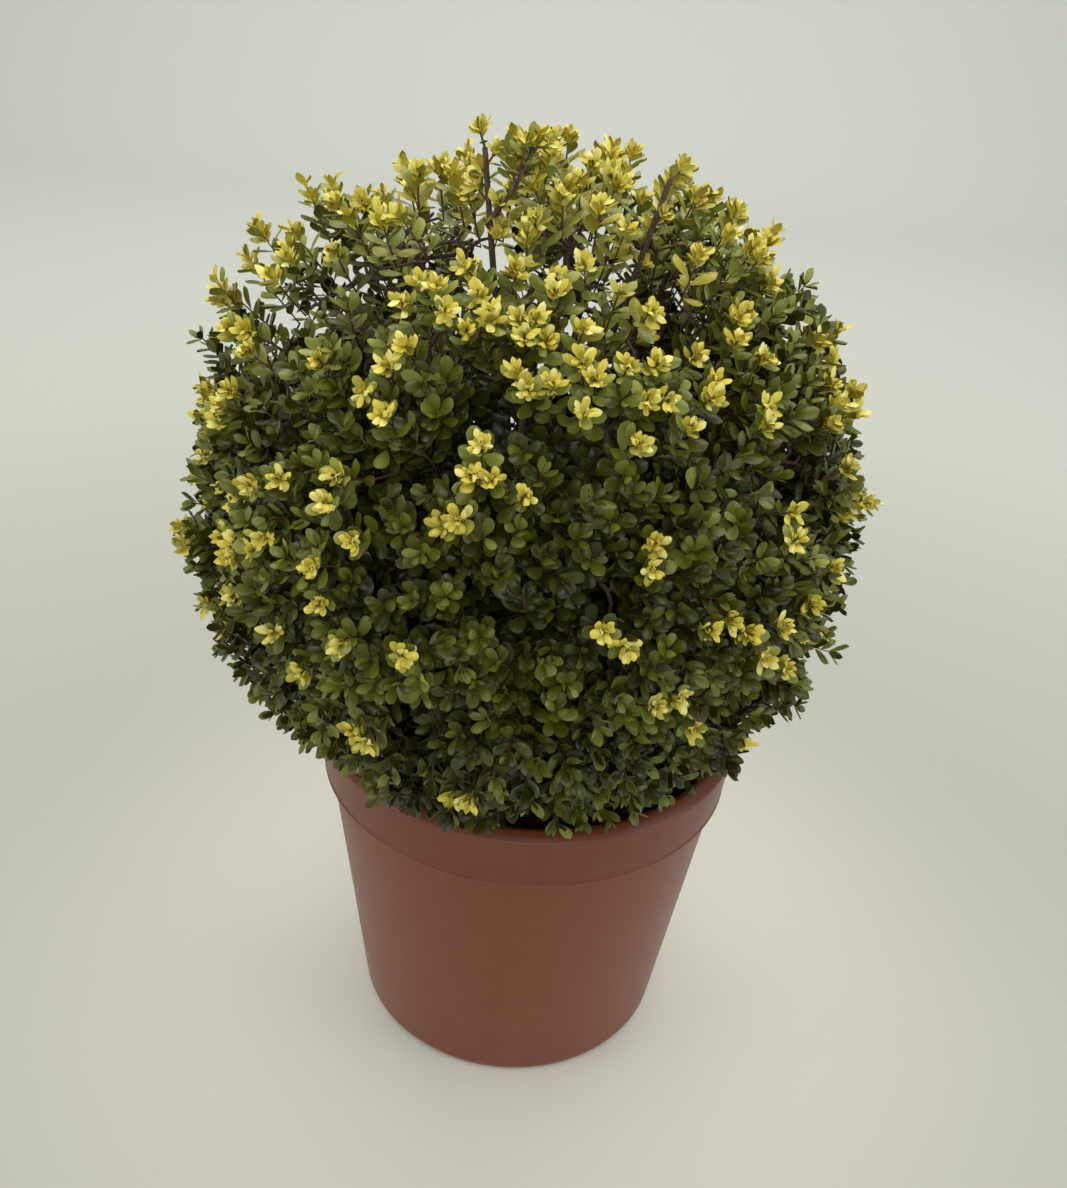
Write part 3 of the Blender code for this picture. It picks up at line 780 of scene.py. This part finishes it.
def barked_limb(node, centres, radii, limb, material):
    """A limb with bark relief in its mesh, closed flat at its foot and by a low cone at its tip."""
    path, thick = smooth_line(centres, radii, limb.rings)
    headings = unit(np.gradient(path, axis=0))
    across = unit(np.cross(headings[0], LIMB_ACROSS))
    lump_along, lump_round, lump = BARK_LUMPS
    ridge_along, ridge_round, ridge = BARK_RIDGES
    points = []
    for index, (spot, heading, radius) in enumerate(zip(path, headings, thick)):
        across = unit(across - heading * (across @ heading))
        beside = np.cross(heading, across)
        for side in range(limb.sides):
            angle = math.tau * side / limb.sides
            ray = across * math.cos(angle) + beside * math.sin(angle)
            lumps = noise.noise(Vector(spot * lump_along + ray * lump_round))
            ridges = noise.noise(Vector(ray * ridge_round + heading * (index * ridge_along)))
            points.append(spot + ray * (radius + limb.relief * radius * (lump * lumps + ridge * ridges)))
    faces = ring_faces(0, limb.rings, limb.sides)
    foot, tip = len(points), len(points) + 1
    top = foot - limb.sides
    points.append(path[0])
    points.append(path[-1] + headings[-1] * thick[-1] * LIMB_TIP)
    for side in range(limb.sides):
        after = (side + 1) % limb.sides
        faces.append((foot, after, side))
        faces.append((tip, top + side, top + after))
    name = node + "_bark"
    piece = link(name, mesh_of(name, points, faces), material)
    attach(piece, "root")
    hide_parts(node)


# Growth of the ball


def ball_surface():
    """All foliage solids of the frame as one tree for rays."""
    points, faces = [], []
    for name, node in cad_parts.items():
        if not name.startswith("foliage_") or name.startswith("foliage_tuft"):
            continue
        base = len(points)
        points.extend(vert.co.copy() for vert in node.data.vertices)
        faces.extend([base + index for index in face.vertices] for face in node.data.polygons)
    return BVHTree.FromPolygons(points, faces)


def spread_directions(count):
    """Unit vectors spread evenly over the ball, with some scatter."""
    index = np.arange(count) + 0.5
    height = 1.0 - 2.0 * index / count
    around = index * GOLDEN_ANGLE + RNG.uniform(0, math.tau)
    flat = np.sqrt(1.0 - height ** 2)
    even = np.stack((flat * np.cos(around), flat * np.sin(around), height), axis=1)
    return unit(even + RNG.normal(0.0, DIRECTION_SCATTER / math.sqrt(count), (count, 3)))


def toward(azimuth, elevation):
    """Unit vector at an azimuth from the front towards the right, and an elevation."""
    around, up = math.radians(azimuth), math.radians(elevation)
    return np.array((math.sin(around) * math.cos(up), -math.cos(around) * math.cos(up), math.sin(up)))


def step_between(value, low, high):
    """0 below low, 1 above high, and straight between them."""
    return min(max((value - low) / (high - low), 0.0), 1.0)


class Shoot:
    """A leafy shoot: an arc from its foot over a bend to its tip."""

    def __init__(self, tip, heading, out, length, leaves, tip_leaves, tone, gold):
        self.tip, self.out = tip, out
        self.leaves, self.tip_leaves = leaves, tip_leaves
        self.tone, self.gold = tone, gold
        self.bend = tip - heading * length * SHOOT_TOP
        lower = unit(SHOOT_HEADING * heading + SHOOT_OUTWARD * out)
        self.foot = self.bend - lower * length * SHOOT_BASE
        self.hanger = None
        self.leaf_scale = 1.0


def clump_at(out):
    """How far a direction lies in a clump, above 0, or between clumps, below 0."""
    return noise.noise(Vector(out * CLUMP_SCALE) + CLUMP_SHIFT)


def tone_at(out, depth):
    """How light the green is: lighter at the top and in patches, darker inside and lower down. Lighter at
    the top is partly new growth and partly painted light from above; darker lower down is partly older
    leaves and partly painted shade, and darker inside is painted shade.
    """
    patch = noise.noise(Vector(out * PATCH_SCALE) + PATCH_SHIFT)
    speck = noise.noise(Vector(out * SPECK_SCALE))
    level = float(np.interp(out[2], *GROWTH_AND_LIGHT_BY_HEIGHT)) + SIDE_TONE * abs(out[0]) * (out[2] > UNDERSIDE)
    level = level + PATCH_TONE * patch + SPECK_TONE * speck
    return level + RNG.normal(0.0, TONE_SCATTER) - SHADE_BY_DEPTH * depth


def openness(out):
    """How open the ball is in a direction: 0 where it is closed."""
    most = 0.0
    for azimuth, elevation, width, share in OPEN_PLACES:
        apart = math.degrees(math.acos(min(max(toward(azimuth, elevation) @ out, -1.0), 1.0)))
        most = max(most, share * (1.0 - step_between(apart, OPEN_CORE * width, width)))
    return most


def surface_reach(surface, out):
    """How far the ball's surface lies from its middle in a direction, or None in a gap."""
    start = Vector(BALL_MIDDLE + out * RAY_LENGTH)
    spot, _, _, _ = surface.ray_cast(start, Vector(-out), RAY_LENGTH)
    return None if spot is None else (np.array(spot) - BALL_MIDDLE) @ out


def clear_of_pot(tip):
    """Lifts a tip that would lie on or in the pot's rim."""
    if math.hypot(tip[0], tip[1]) < RIM_RADIUS + RIM_MARGIN:
        tip[2] = max(tip[2], POT_HEIGHT + RIM_CLEARANCE + RNG.uniform(0.0, RIM_CLEARANCE))
    return tip


def golden_share(out):
    """Share of golden shoots in a direction."""
    front = step_between(-out[1], FRONT_START, FRONT_FULL)
    share = GOLD_ALL + GOLD_TOP * max(out[2], 0.0) + GOLD_SIDES * abs(out[0])
    share = share * (1.0 - GOLD_FRONT_CUT * front) + GOLD_LEAST
    return share * (out[2] > GOLD_LOWEST)


def shoot_layer(surface, depth, layer):
    """One layer of shoots, wherever the ball has foliage."""
    shoots = []
    for out in spread_directions(layer.shoots):
        reach = surface_reach(surface, out)
        clump = clump_at(out)
        open_here = openness(out)
        thinned = RNG.random() < OPEN_THINNING[depth] * open_here
        if reach is None or thinned or clump < HOLLOW_BELOW[depth]:
            continue
        sink = layer.depth - layer.clumps * clump + RNG.normal(0.0, layer.scatter)
        sink += OPEN_SINK[depth] * open_here
        tip = clear_of_pot(BALL_MIDDLE + out * (reach - max(sink, LEAST_DEPTH)))
        rise = SHOOT_RISE * (1.0 if out[2] > UNDERSIDE else UNDERSIDE_RISE)
        heading = unit(out + UP * rise + RNG.normal(0.0, SHOOT_SPREAD, 3))
        length = layer.length * RNG.uniform(*LENGTH_RANGE)
        gold = depth == 0 and RNG.random() < golden_share(out)
        shoots.append(Shoot(
            tip, heading, out, length, layer.leaves, layer.tip_leaves, tone_at(out, depth), gold
        ))
    return shoots


def around_axis(axis, spread):
    """An axis leaned by a random amount."""
    return unit(axis + RNG.normal(0.0, spread, 3))


def gold_clusters(surface):
    """Rosettes that stand close together, each on its own short shoot."""
    shoots = []
    for azimuth, elevation, count in GOLD_CLUSTERS:
        middle = toward(azimuth, elevation)
        right = unit(np.cross(UP, middle) * -1.0)
        upward = np.cross(middle, right)
        first = RNG.uniform(0.0, math.tau)
        for order in range(count):
            off = CLUSTER_SPREAD * math.sqrt(order) * RNG.uniform(*CLUSTER_SCATTER)
            turn = first + order * GOLDEN_ANGLE
            aside = right * math.cos(turn) + upward * math.sin(turn)
            out = unit(middle * CLUSTER_RADIUS + aside * off)
            reach = surface_reach(surface, out)
            if reach is None:
                continue
            tip = BALL_MIDDLE + out * (reach - RNG.uniform(*CLUSTER_SINK))
            heading = around_axis(unit(out + CLUSTER_RISE * UP), CLUSTER_LEAN)
            tone = tone_at(out, 0) + CLUSTER_TONE
            shoots.append(Shoot(tip, heading, out, tone=tone, gold=True, **CLUSTER_SHOOT))
    return shoots


def leading_sprays():
    """Long sprays that stand out of the ball, each with shorter ones beside it."""
    shoots = []
    for azimuth, elevation, reach, gold in LEADING_SPRAYS:
        for order in range(SPRAY_SHOOTS):
            out = around_axis(toward(azimuth, elevation), 0.0 if order == 0 else SPRAY_SPREAD)
            tip = BALL_MIDDLE + out * (reach - SPRAY_LEAF_REACH - SPRAY_STEP * order)
            heading = around_axis(unit(out + SPRAY_RISE * UP), SPRAY_LEAN)
            shoots.append(Shoot(
                tip, heading, out, SPRAY_LENGTH - SPRAY_SHORTER * order,
                SPRAY_LEAVES - SPRAY_FEWER * order, SPRAY_TIP_LEAVES,
                tone_at(out, 0) + SPRAY_TONE, bool(gold),
            ))
    return shoots


def stem_shoots(line):
    """Shoots that sit straight on a stem: a golden tuft on its end, and some along it."""
    shoots = []
    end = unit(line[-1] - line[-3])
    for order in range(STEM_END.count + STEM_SIDE.count):
        at_end = order < STEM_END.count
        kind = STEM_END if at_end else STEM_SIDE
        place = len(line) - 1 - order if at_end else int(len(line) * RNG.uniform(*STEM_SIDE_SPAN))
        around = RNG.normal(0.0, 1.0, 3)
        across = unit(around - end * (around @ end))
        heading = unit(end + across * RNG.uniform(*kind.lean))
        length = RNG.uniform(*kind.length)
        tip = line[place] + heading * length
        gold = at_end or order % 3 == 0
        out = unit(tip - BALL_MIDDLE)
        shoot = Shoot(tip, heading, out, length, kind.leaves, STEM_TIP_LEAVES, kind.tone, gold)
        shoot.foot = line[place] + heading * length * STEM_SHOOT_FOOT
        shoot.bend = line[place] + heading * length * STEM_SHOOT_BEND
        shoot.hanger = line[place]
        shoot.leaf_scale = STEM_LEAF_SCALE
        shoots.append(shoot)
    return shoots


def grow_twigs(starts, start_headings, goals):
    """Space colonisation: twigs grow from the starts towards the goals.

    Returns points, the parent of each, and for each goal the point that it hangs on.
    """
    points = [*starts]
    parents = [-1] * len(starts)
    headings = [*start_headings]
    nearest = np.zeros(len(goals), dtype=int)
    distance = np.full(len(goals), np.inf)
    waiting = np.ones(len(goals), dtype=bool)
    fresh = list(range(len(points)))
    for _ in range(GROWTH_ROUNDS):
        if not fresh or not waiting.any():
            break
        new = np.array([points[index] for index in fresh])
        gaps = np.linalg.norm(goals[:, None] - new[None], axis=2)
        best = gaps.argmin(axis=1)
        least = gaps[np.arange(len(goals)), best]
        closer = waiting & (least < distance)
        distance[closer] = least[closer]
        nearest[closer] = np.array(fresh)[best[closer]]
        waiting &= distance > GROWTH_ARRIVE
        pulling = waiting & (distance < GROWTH_REACH)
        fresh = []
        for point in np.unique(nearest[pulling]):
            pulls = goals[pulling & (nearest == point)] - points[point]
            pull = unit(unit(pulls).sum(axis=0) + GROWTH_INERTIA * headings[point])
            pull = around_axis(pull, GROWTH_WANDER)
            fresh.append(len(points))
            points.append(points[point] + pull * GROWTH_STEP)
            parents.append(int(point))
            headings.append(pull)
    return np.array(points), np.array(parents), nearest


def twig_radii(parents, hung, start_radii):
    """Thickness of each twig point by the pipe rule, no thicker than the bough it grows on."""
    load = np.zeros(len(parents))
    np.add.at(load, hung, TWIG_RADIUS ** TWIG_JOIN)
    for point in range(len(parents) - 1, -1, -1):
        if parents[point] >= 0:
            load[parents[point]] += load[point]
    radii = np.maximum(load, (TWIG_RADIUS * TWIG_LEAST) ** TWIG_JOIN) ** (1.0 / TWIG_JOIN)
    limit = np.zeros(len(parents))
    limit[: len(start_radii)] = start_radii
    for point in range(len(start_radii), len(parents)):
        limit[point] = limit[parents[point]]
    return np.minimum(radii, limit * TWIG_AT_BOUGH)


def wood_piece(name, tree, points, edges, thickness, sides, material):
    """One piece of twigs from lines."""
    source = mesh_of(name, points, edges=edges)
    add_attribute(source, "thickness", "FLOAT", thickness)
    mesh = grown_mesh(name, source, tree, {"Sides": sides, "Material": material})
    piece = link(name, mesh, material)
    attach(piece, "root")


def arc_at(shoot, share):
    """Points and headings along a shoot's arc."""
    left = 1.0 - share
    spot = (left ** 2)[:, None] * shoot.foot + (2 * share * left)[:, None] * shoot.bend
    spot = spot + (share ** 2)[:, None] * shoot.tip
    axis = left[:, None] * (shoot.bend - shoot.foot) + share[:, None] * (shoot.tip - shoot.bend)
    return spot, unit(axis)


def leaves_of(shoot):
    """Spot, along, face, size and tone of each leaf on a shoot, and whether it is in a rosette."""
    star = ROSETTE_LEAVES if shoot.gold else 0
    total = shoot.leaves + shoot.tip_leaves + star
    order = np.arange(total)
    on_stem = order < shoot.leaves
    young = (order >= shoot.leaves) & (order < shoot.leaves + shoot.tip_leaves)
    in_star = (order >= shoot.leaves + shoot.tip_leaves) | (young & shoot.gold)
    outer = order % 3 > 0

    start, span = STEM_PLACES
    share = np.where(
        on_stem, start + span * order / max(shoot.leaves, 1), np.where(young, YOUNG_PLACE, STAR_PLACE)
    )
    share = share - np.where(in_star, RNG.uniform(0.0, STAR_DEPTH, total), 0.0)
    spot, axis = arc_at(shoot, share)
    sideways = np.where(np.abs(axis[:, :1]) < 0.8, (1.0, 0.0, 0.0), (0.0, 1.0, 0.0))
    first = unit(np.cross(axis, sideways))
    second = np.cross(axis, first)
    around = RNG.uniform(0, math.tau) + order * GOLDEN_ANGLE + RNG.normal(0.0, TURN_SCATTER, total)
    outward = np.cos(around)[:, None] * first + np.sin(around)[:, None] * second

    star_open = np.where(outer, RNG.uniform(*OUTER_OPENING, total), RNG.uniform(*INNER_OPENING, total))
    young_open = np.where(young, RNG.uniform(*YOUNG_OPENING, total), star_open)
    open_deg = np.where(on_stem, STEM_OPENING[0] - STEM_OPENING[1] * share, young_open)
    opening = np.radians(open_deg + RNG.normal(0.0, OPENING_SCATTER, total))
    along = np.cos(opening)[:, None] * axis + np.sin(opening)[:, None] * outward
    own_face = np.sin(opening)[:, None] * axis - np.cos(opening)[:, None] * outward
    light = unit(shoot.out + LIGHT_RISE * UP)
    lit = light - (along @ light)[:, None] * along
    face = unit(own_face + FACE_LIGHT * lit + RNG.normal(0.0, FACE_SCATTER, (total, 3)))

    full = STEM_SIZE - STEM_SIZE_FALL * np.abs(share - STEM_SIZE_PEAK)
    grown = np.where(on_stem, full, RNG.uniform(*YOUNG_SIZE, total))
    star_size = np.where(outer, RNG.uniform(*OUTER_SIZE, total), RNG.uniform(*INNER_SIZE, total))
    size = np.where(in_star, star_size, grown * RNG.uniform(*SIZE_RANGE, total))
    size = size * np.where(in_star, 1.0, shoot.leaf_scale)
    narrow = RNG.uniform(*WIDTH_RANGE, total)
    sizes = np.stack((size * narrow, size, size * RNG.uniform(*DOME_RANGE, total)), axis=1)

    tone = shoot.tone + TIP_TONE * (share - TIP_TONE_FROM) + RNG.normal(0.0, LEAF_TONE_SCATTER, total)
    if shoot.gold:
        tone = tone + np.where(share > GOLD_TIP_FROM, GOLD_TIP_TONE, 0.0)
    star_tone = RNG.normal(STAR_TONE, STAR_TONE_SCATTER, total)
    tone = np.where(in_star, star_tone, np.minimum(tone, LIGHTEST_GREEN))
    return spot + outward * SHOOT_RADIUS, along, face, sizes, tone, in_star


def kept_above_rim(leaves):
    """Turns leaves up that would hang over the pot, but for a few."""
    spots, alongs, faces, sizes, tones, stars = leaves
    length = LEAF_LENGTH * sizes[:, 1]
    floor = POT_HEIGHT + RIM_LEAF_HEIGHT
    near = np.hypot(spots[:, 0], spots[:, 1]) < RIM_RADIUS + RIM_LEAF_MARGIN
    hanging = spots[:, 2] + alongs[:, 2] * length < floor
    low = near & hanging & (RNG.random(len(spots)) > RIM_HANGING)
    least = np.clip((floor - spots[:, 2]) / length, -STEEPEST, STEEPEST)
    alongs[low, 2] = least[low]
    return spots, unit(alongs), faces, sizes, tones, stars


def leaf_pieces(leaves):
    """One piece for each leaf colour and kind, or more where a piece would be too large."""
    spots, alongs, faces, sizes, tones, stars = leaves
    trees = (
        ("leaves", leaf_tree("leaf", LEAF_LENGTH, LEAF_WIDTH, LEAF_DOME), ~stars),
        ("rosettes", leaf_tree("rosette_leaf", ROSETTE_LENGTH, ROSETTE_WIDTH, ROSETTE_DOME), stars),
    )
    low = -math.inf
    for tint, srgb, high in LEAF_TINTS:
        chosen = (tones >= low) & (tones < high)
        low = high
        material = plain("leaf_" + tint, srgb, LEAF_ROUGHNESS, Specular_IOR_Level=LEAF_GLOSS)
        for kind, tree, of_kind in trees:
            members = np.flatnonzero(chosen & of_kind)
            parts = math.ceil(len(members) * LEAF_TRIANGLES / PIECE_TRIANGLES)
            for number in range(parts):
                part = members[number::parts]
                name = f"{kind}_{tint}_{number + 1}"
                source = mesh_of(name, spots[part])
                for attribute, values in (("along", alongs), ("face", faces), ("size", sizes)):
                    add_attribute(source, attribute, "FLOAT_VECTOR", values[part])
                mesh = grown_mesh(name, source, tree, {"Material": material})
                piece = link(name, mesh, material)
                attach(piece, "root")
                yield piece


def make_limbs(bark):
    """Trunk, boughs and stems with bark. Gives the boughs' ends and the stems' lines."""
    ends, headings, radii, stems = [], [], [], []
    for name in sorted(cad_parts):
        if name.startswith("bough_"):
            line, thick = rings_of(name, BOUGH.frame_sides)
            if np.hypot(*line[0, :2]) > np.hypot(*line[-1, :2]):
                line, thick = line[::-1], thick[::-1]
            barked_limb(name, line, thick, BOUGH, bark)
            ends.append(line[-1])
            headings.append(unit(line[-1] - line[-2]))
            radii.append(thick[-1])
        elif name.startswith("stem_"):
            line, thick = rings_of(name, STEM.frame_sides)
            barked_limb(name, line, thick * STEM_THINNING, STEM, bark)
            stems.append(smooth_line(line, thick, STEM.rings)[0])
    barked_limb("trunk", *rings_of("trunk", TRUNK.frame_sides), TRUNK, bark)
    return ends, headings, radii, stems


def make_foliage(bark):
    """Limbs, twigs, shoots and leaves."""
    ends, headings, thick_ends, stems = make_limbs(bark)
    surface = ball_surface()
    shoots = gold_clusters(surface) + leading_sprays()
    for depth, layer in enumerate(LAYERS):
        shoots.extend(shoot_layer(surface, depth, layer))
    feet = np.array([shoot.foot for shoot in shoots])
    points, parents, hung = grow_twigs(ends, headings, feet)
    radii = twig_radii(parents, hung, thick_ends)
    for shoot, point in zip(shoots, hung):
        shoot.hanger = points[point]
    for line in stems:
        shoots.extend(stem_shoots(line))

    tree = twig_tree()
    edges = [(int(parents[point]), int(point)) for point in np.flatnonzero(parents >= 0)]
    wood_piece("twigs", tree, points, edges, radii, TWIG_SIDES, bark)
    lines, line_edges, thickness = [], [], []
    for shoot in shoots:
        base = len(lines)
        middle = 0.25 * shoot.foot + 0.5 * shoot.bend + 0.25 * shoot.tip
        lines.extend((shoot.hanger, shoot.foot, middle, shoot.tip))
        line_edges.extend((base + step, base + step + 1) for step in range(3))
        thickness.extend(SHOOT_TAPER)
    thickness = np.array(thickness) * SHOOT_RADIUS
    shoot_bark = plain("young_shoot", (96, 66, 46), 0.55)
    wood_piece("young_shoots", tree, lines, line_edges, thickness, SHOOT_SIDES, shoot_bark)

    leaves = [np.concatenate(part) for part in zip(*(leaves_of(shoot) for shoot in shoots))]
    pieces = list(leaf_pieces(kept_above_rim(leaves)))
    masses = [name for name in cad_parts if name.startswith("foliage_")]
    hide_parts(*masses)


# Pot and soil


def foot_cutters():
    """One mesh of the notches in the foot ring and the drain holes in the floor."""
    points, faces = [], []
    for number in range(NOTCHES):
        faces.extend(closed_tube(len(points), NOTCH_STEPS + 1, len(NOTCH_SECTION)))
        middle = FIRST_NOTCH_DEG + number * 360.0 / NOTCHES
        for step in range(NOTCH_STEPS + 1):
            angle = math.radians(middle + NOTCH_WIDTH_DEG * (step / NOTCH_STEPS - 0.5))
            for radius, z in NOTCH_SECTION:
                points.append((radius * math.cos(angle), radius * math.sin(angle), z))
    for middle in ring(DRAIN_CIRCLE, 0.0, DRAIN_HOLES, first=0.5):
        faces.extend(closed_tube(len(points), len(DRAIN_HEIGHTS), DRAIN_SIDES))
        for z in DRAIN_HEIGHTS:
            points.extend(ring(DRAIN_RADIUS, z, DRAIN_SIDES, middle))
    return faced_outwards(mesh_of("foot_cutters", points, faces))


def carved(mesh, cutter):
    """The mesh with the cutter's volume taken out of it."""
    body = bpy.data.objects.new("body_to_carve", mesh)
    tool = bpy.data.objects.new("carving_tool", cutter)
    for obj in (body, tool):
        bpy.context.scene.collection.objects.link(obj)
    cut = body.modifiers.new("cut", "BOOLEAN")
    cut.operation = "DIFFERENCE"
    cut.solver = "EXACT"
    cut.object = tool
    graph = bpy.context.evaluated_depsgraph_get()
    result = bpy.data.meshes.new_from_object(body.evaluated_get(graph))
    result.name = mesh.name
    for obj in (body, tool):
        bpy.data.objects.remove(obj)
    return result


def make_pot(material):
    """The pot with a rolled lip, an undercut collar and a notched foot."""
    lip = RIM_RADIUS - 0.0105
    corners = (
        (0.0, WALL, 0),
        (0.0575, WALL, 0.001),
        (0.0575, 0.0075, 0.001),
        (BASE_RADIUS - 0.0015, 0.0075, 0.004),
        (WALL_TOP_RADIUS - WALL, COLLAR_FOOT - WALL, 0.003),
        (COLLAR_FOOT_RADIUS - WALL, COLLAR_FOOT + WALL, 0.003),
        (RIM_RADIUS - 0.0055, POT_HEIGHT - 0.010, 0.003),
        (lip, POT_HEIGHT - 0.0035, 0.001),
        (lip + 0.0008, POT_HEIGHT - 0.0010, 0.001),
        (lip + 0.0038, POT_HEIGHT, 0.002),
        (RIM_RADIUS - 0.0030, POT_HEIGHT - 0.0025, 0.001),
        (RIM_RADIUS - 0.0006, POT_HEIGHT - 0.0048, 0.001),
        (RIM_RADIUS, POT_HEIGHT - 0.006, 0.0015),
        (COLLAR_FOOT_RADIUS, COLLAR_FOOT + 0.0028, 0.0010),
        (COLLAR_FOOT_RADIUS + 0.0008, COLLAR_FOOT + 0.0014, 0.0008),
        (COLLAR_FOOT_RADIUS, COLLAR_FOOT - 0.0004, 0.0005),
        (WALL_TOP_RADIUS - 0.0016, COLLAR_FOOT - 0.0004, 0.0010),
        (WALL_TOP_RADIUS - 0.0012, COLLAR_FOOT - 0.004, 0.002),
        (BASE_RADIUS + 0.0003, 0.005, 0.004),
        (BASE_RADIUS - 0.003, 0.0, 0.002),
        (0.096, 0.0, 0.001),
        (0.096, 0.005, 0.001),
        (0.060, 0.005, 0.001),
        (0.060, 0.0, 0.001),
        (0.0, 0.0, 0),
    )
    shell = carved(lathe("pot_body", rounded(corners), POT_SIDES), foot_cutters())
    piece = link("pot_body", shell, material)
    piece.data.set_sharp_from_angle(angle=math.radians(SHARP_DEG))
    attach(piece, "root")
    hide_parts("pot")


def make_soil(material):
    """The soil that fills the pot, with a crumbly top that dishes towards the wall."""
    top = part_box("soil")[1].z
    profile = [(0.0, top)]
    for ring_number in range(1, SOIL_RINGS + 1):
        share = ring_number / SOIL_RINGS
        profile.append((SOIL_EDGE_RADIUS * share, top - SOIL_DISH * share ** 2))
    profile.append((SOIL_WALL_RADIUS, COLLAR_FOOT - 2 * WALL))
    profile.extend(((SOIL_FOOT_RADIUS, SOIL_FOOT), (0.0, SOIL_FOOT)))
    bed = lathe("soil_bed", profile, SOIL_SIDES)
    for vert in bed.vertices:
        if vert.co.z > top - SOIL_DISH:
            lumps = noise.fractal(vert.co * CRUMB_SCALE, *CRUMB_NOISE)
            away = step_between(math.hypot(vert.co.x, vert.co.y), CRUMB_START, CRUMB_FULL)
            vert.co.z += SOIL_CRUMBS * (lumps - CRUMB_LEVEL) * away
    piece = link("soil_bed", bed, material)
    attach(piece, "root")
    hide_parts("soil")


# Stage


def make_camera():
    """The camera, aimed at its target and then turned aside, tilted up and rolled a little."""
    forward = (CAMERA_TARGET - CAMERA_PLACE).normalized()
    right = Vector((1.0, 0.0, 0.0))
    up = right.cross(forward)
    forward = (forward + right * CAMERA_YAW + up * CAMERA_PITCH).normalized()
    right = forward.cross(up).normalized()
    up = right.cross(forward)
    roll = math.radians(CAMERA_ROLL_DEG)
    right, up = right * math.cos(roll) + up * math.sin(roll), up * math.cos(roll) - right * math.sin(roll)
    lens = bpy.data.cameras.new("camera")
    lens.sensor_width = SENSOR_MM
    lens.lens = CAMERA_FOCAL_PX * SENSOR_MM / IMAGE_HEIGHT
    lens.clip_end = FARTHEST_SEEN
    camera = bpy.data.objects.new("camera", lens)
    turn = (right, up, -forward)
    for row in range(3):
        for column in range(3):
            camera.matrix_world[row][column] = turn[column][row]
    camera.location = CAMERA_PLACE
    bpy.context.scene.collection.objects.link(camera)
    bpy.context.scene.camera = camera


def make_light(name, place, target, size, power, colour):
    """A soft rectangular lamp that the camera does not see."""
    lamp = bpy.data.lights.new(name, "AREA")
    lamp.shape = "RECTANGLE"
    lamp.size, lamp.size_y = size
    lamp.energy = power
    lamp.color = colour
    obj = bpy.data.objects.new(name, lamp)
    obj.location = place
    obj.visible_camera = False
    obj.rotation_euler = (Vector(target) - Vector(place)).to_track_quat("-Z", "Y").to_euler()
    bpy.context.scene.collection.objects.link(obj)


def make_stage():
    """A pale floor that sweeps up into the backdrop, soft lights and an even sky."""
    line = [(-FLOOR_HALF_WIDTH, 0.0), (BACKDROP_START, 0.0)]
    for step in range(1, BEND_STEPS + 1):
        angle = math.pi / 2 * step / BEND_STEPS
        forth, rise = BACKDROP_BEND * math.sin(angle), BACKDROP_BEND * (1 - math.cos(angle))
        line.append((BACKDROP_START + forth, rise))
    line.append((BACKDROP_START + BACKDROP_BEND, BACKDROP_HEIGHT))
    points = [(side * FLOOR_HALF_WIDTH, y, z) for y, z in line for side in (-1, 1)]
    faces = [(2 * row, 2 * row + 1, 2 * row + 3, 2 * row + 2) for row in range(len(line) - 1)]
    floor = link("floor", mesh_of("floor", points, faces), studio_floor())
    world = bpy.data.worlds.new("studio")
    world.use_nodes = True
    sky = world.node_tree.nodes["Background"]
    sky.inputs["Color"].default_value = SKY_COLOUR
    sky.inputs["Strength"].default_value = SKY_STRENGTH
    bpy.context.scene.world = world
    for lamp in LAMPS:
        make_light(*lamp)
    bpy.context.scene.view_settings.view_transform = "Standard"


def main():
    make_camera()
    make_stage()
    make_pot(pot_plastic())
    make_soil(damp_soil())
    make_foliage(holly_bark())


main()
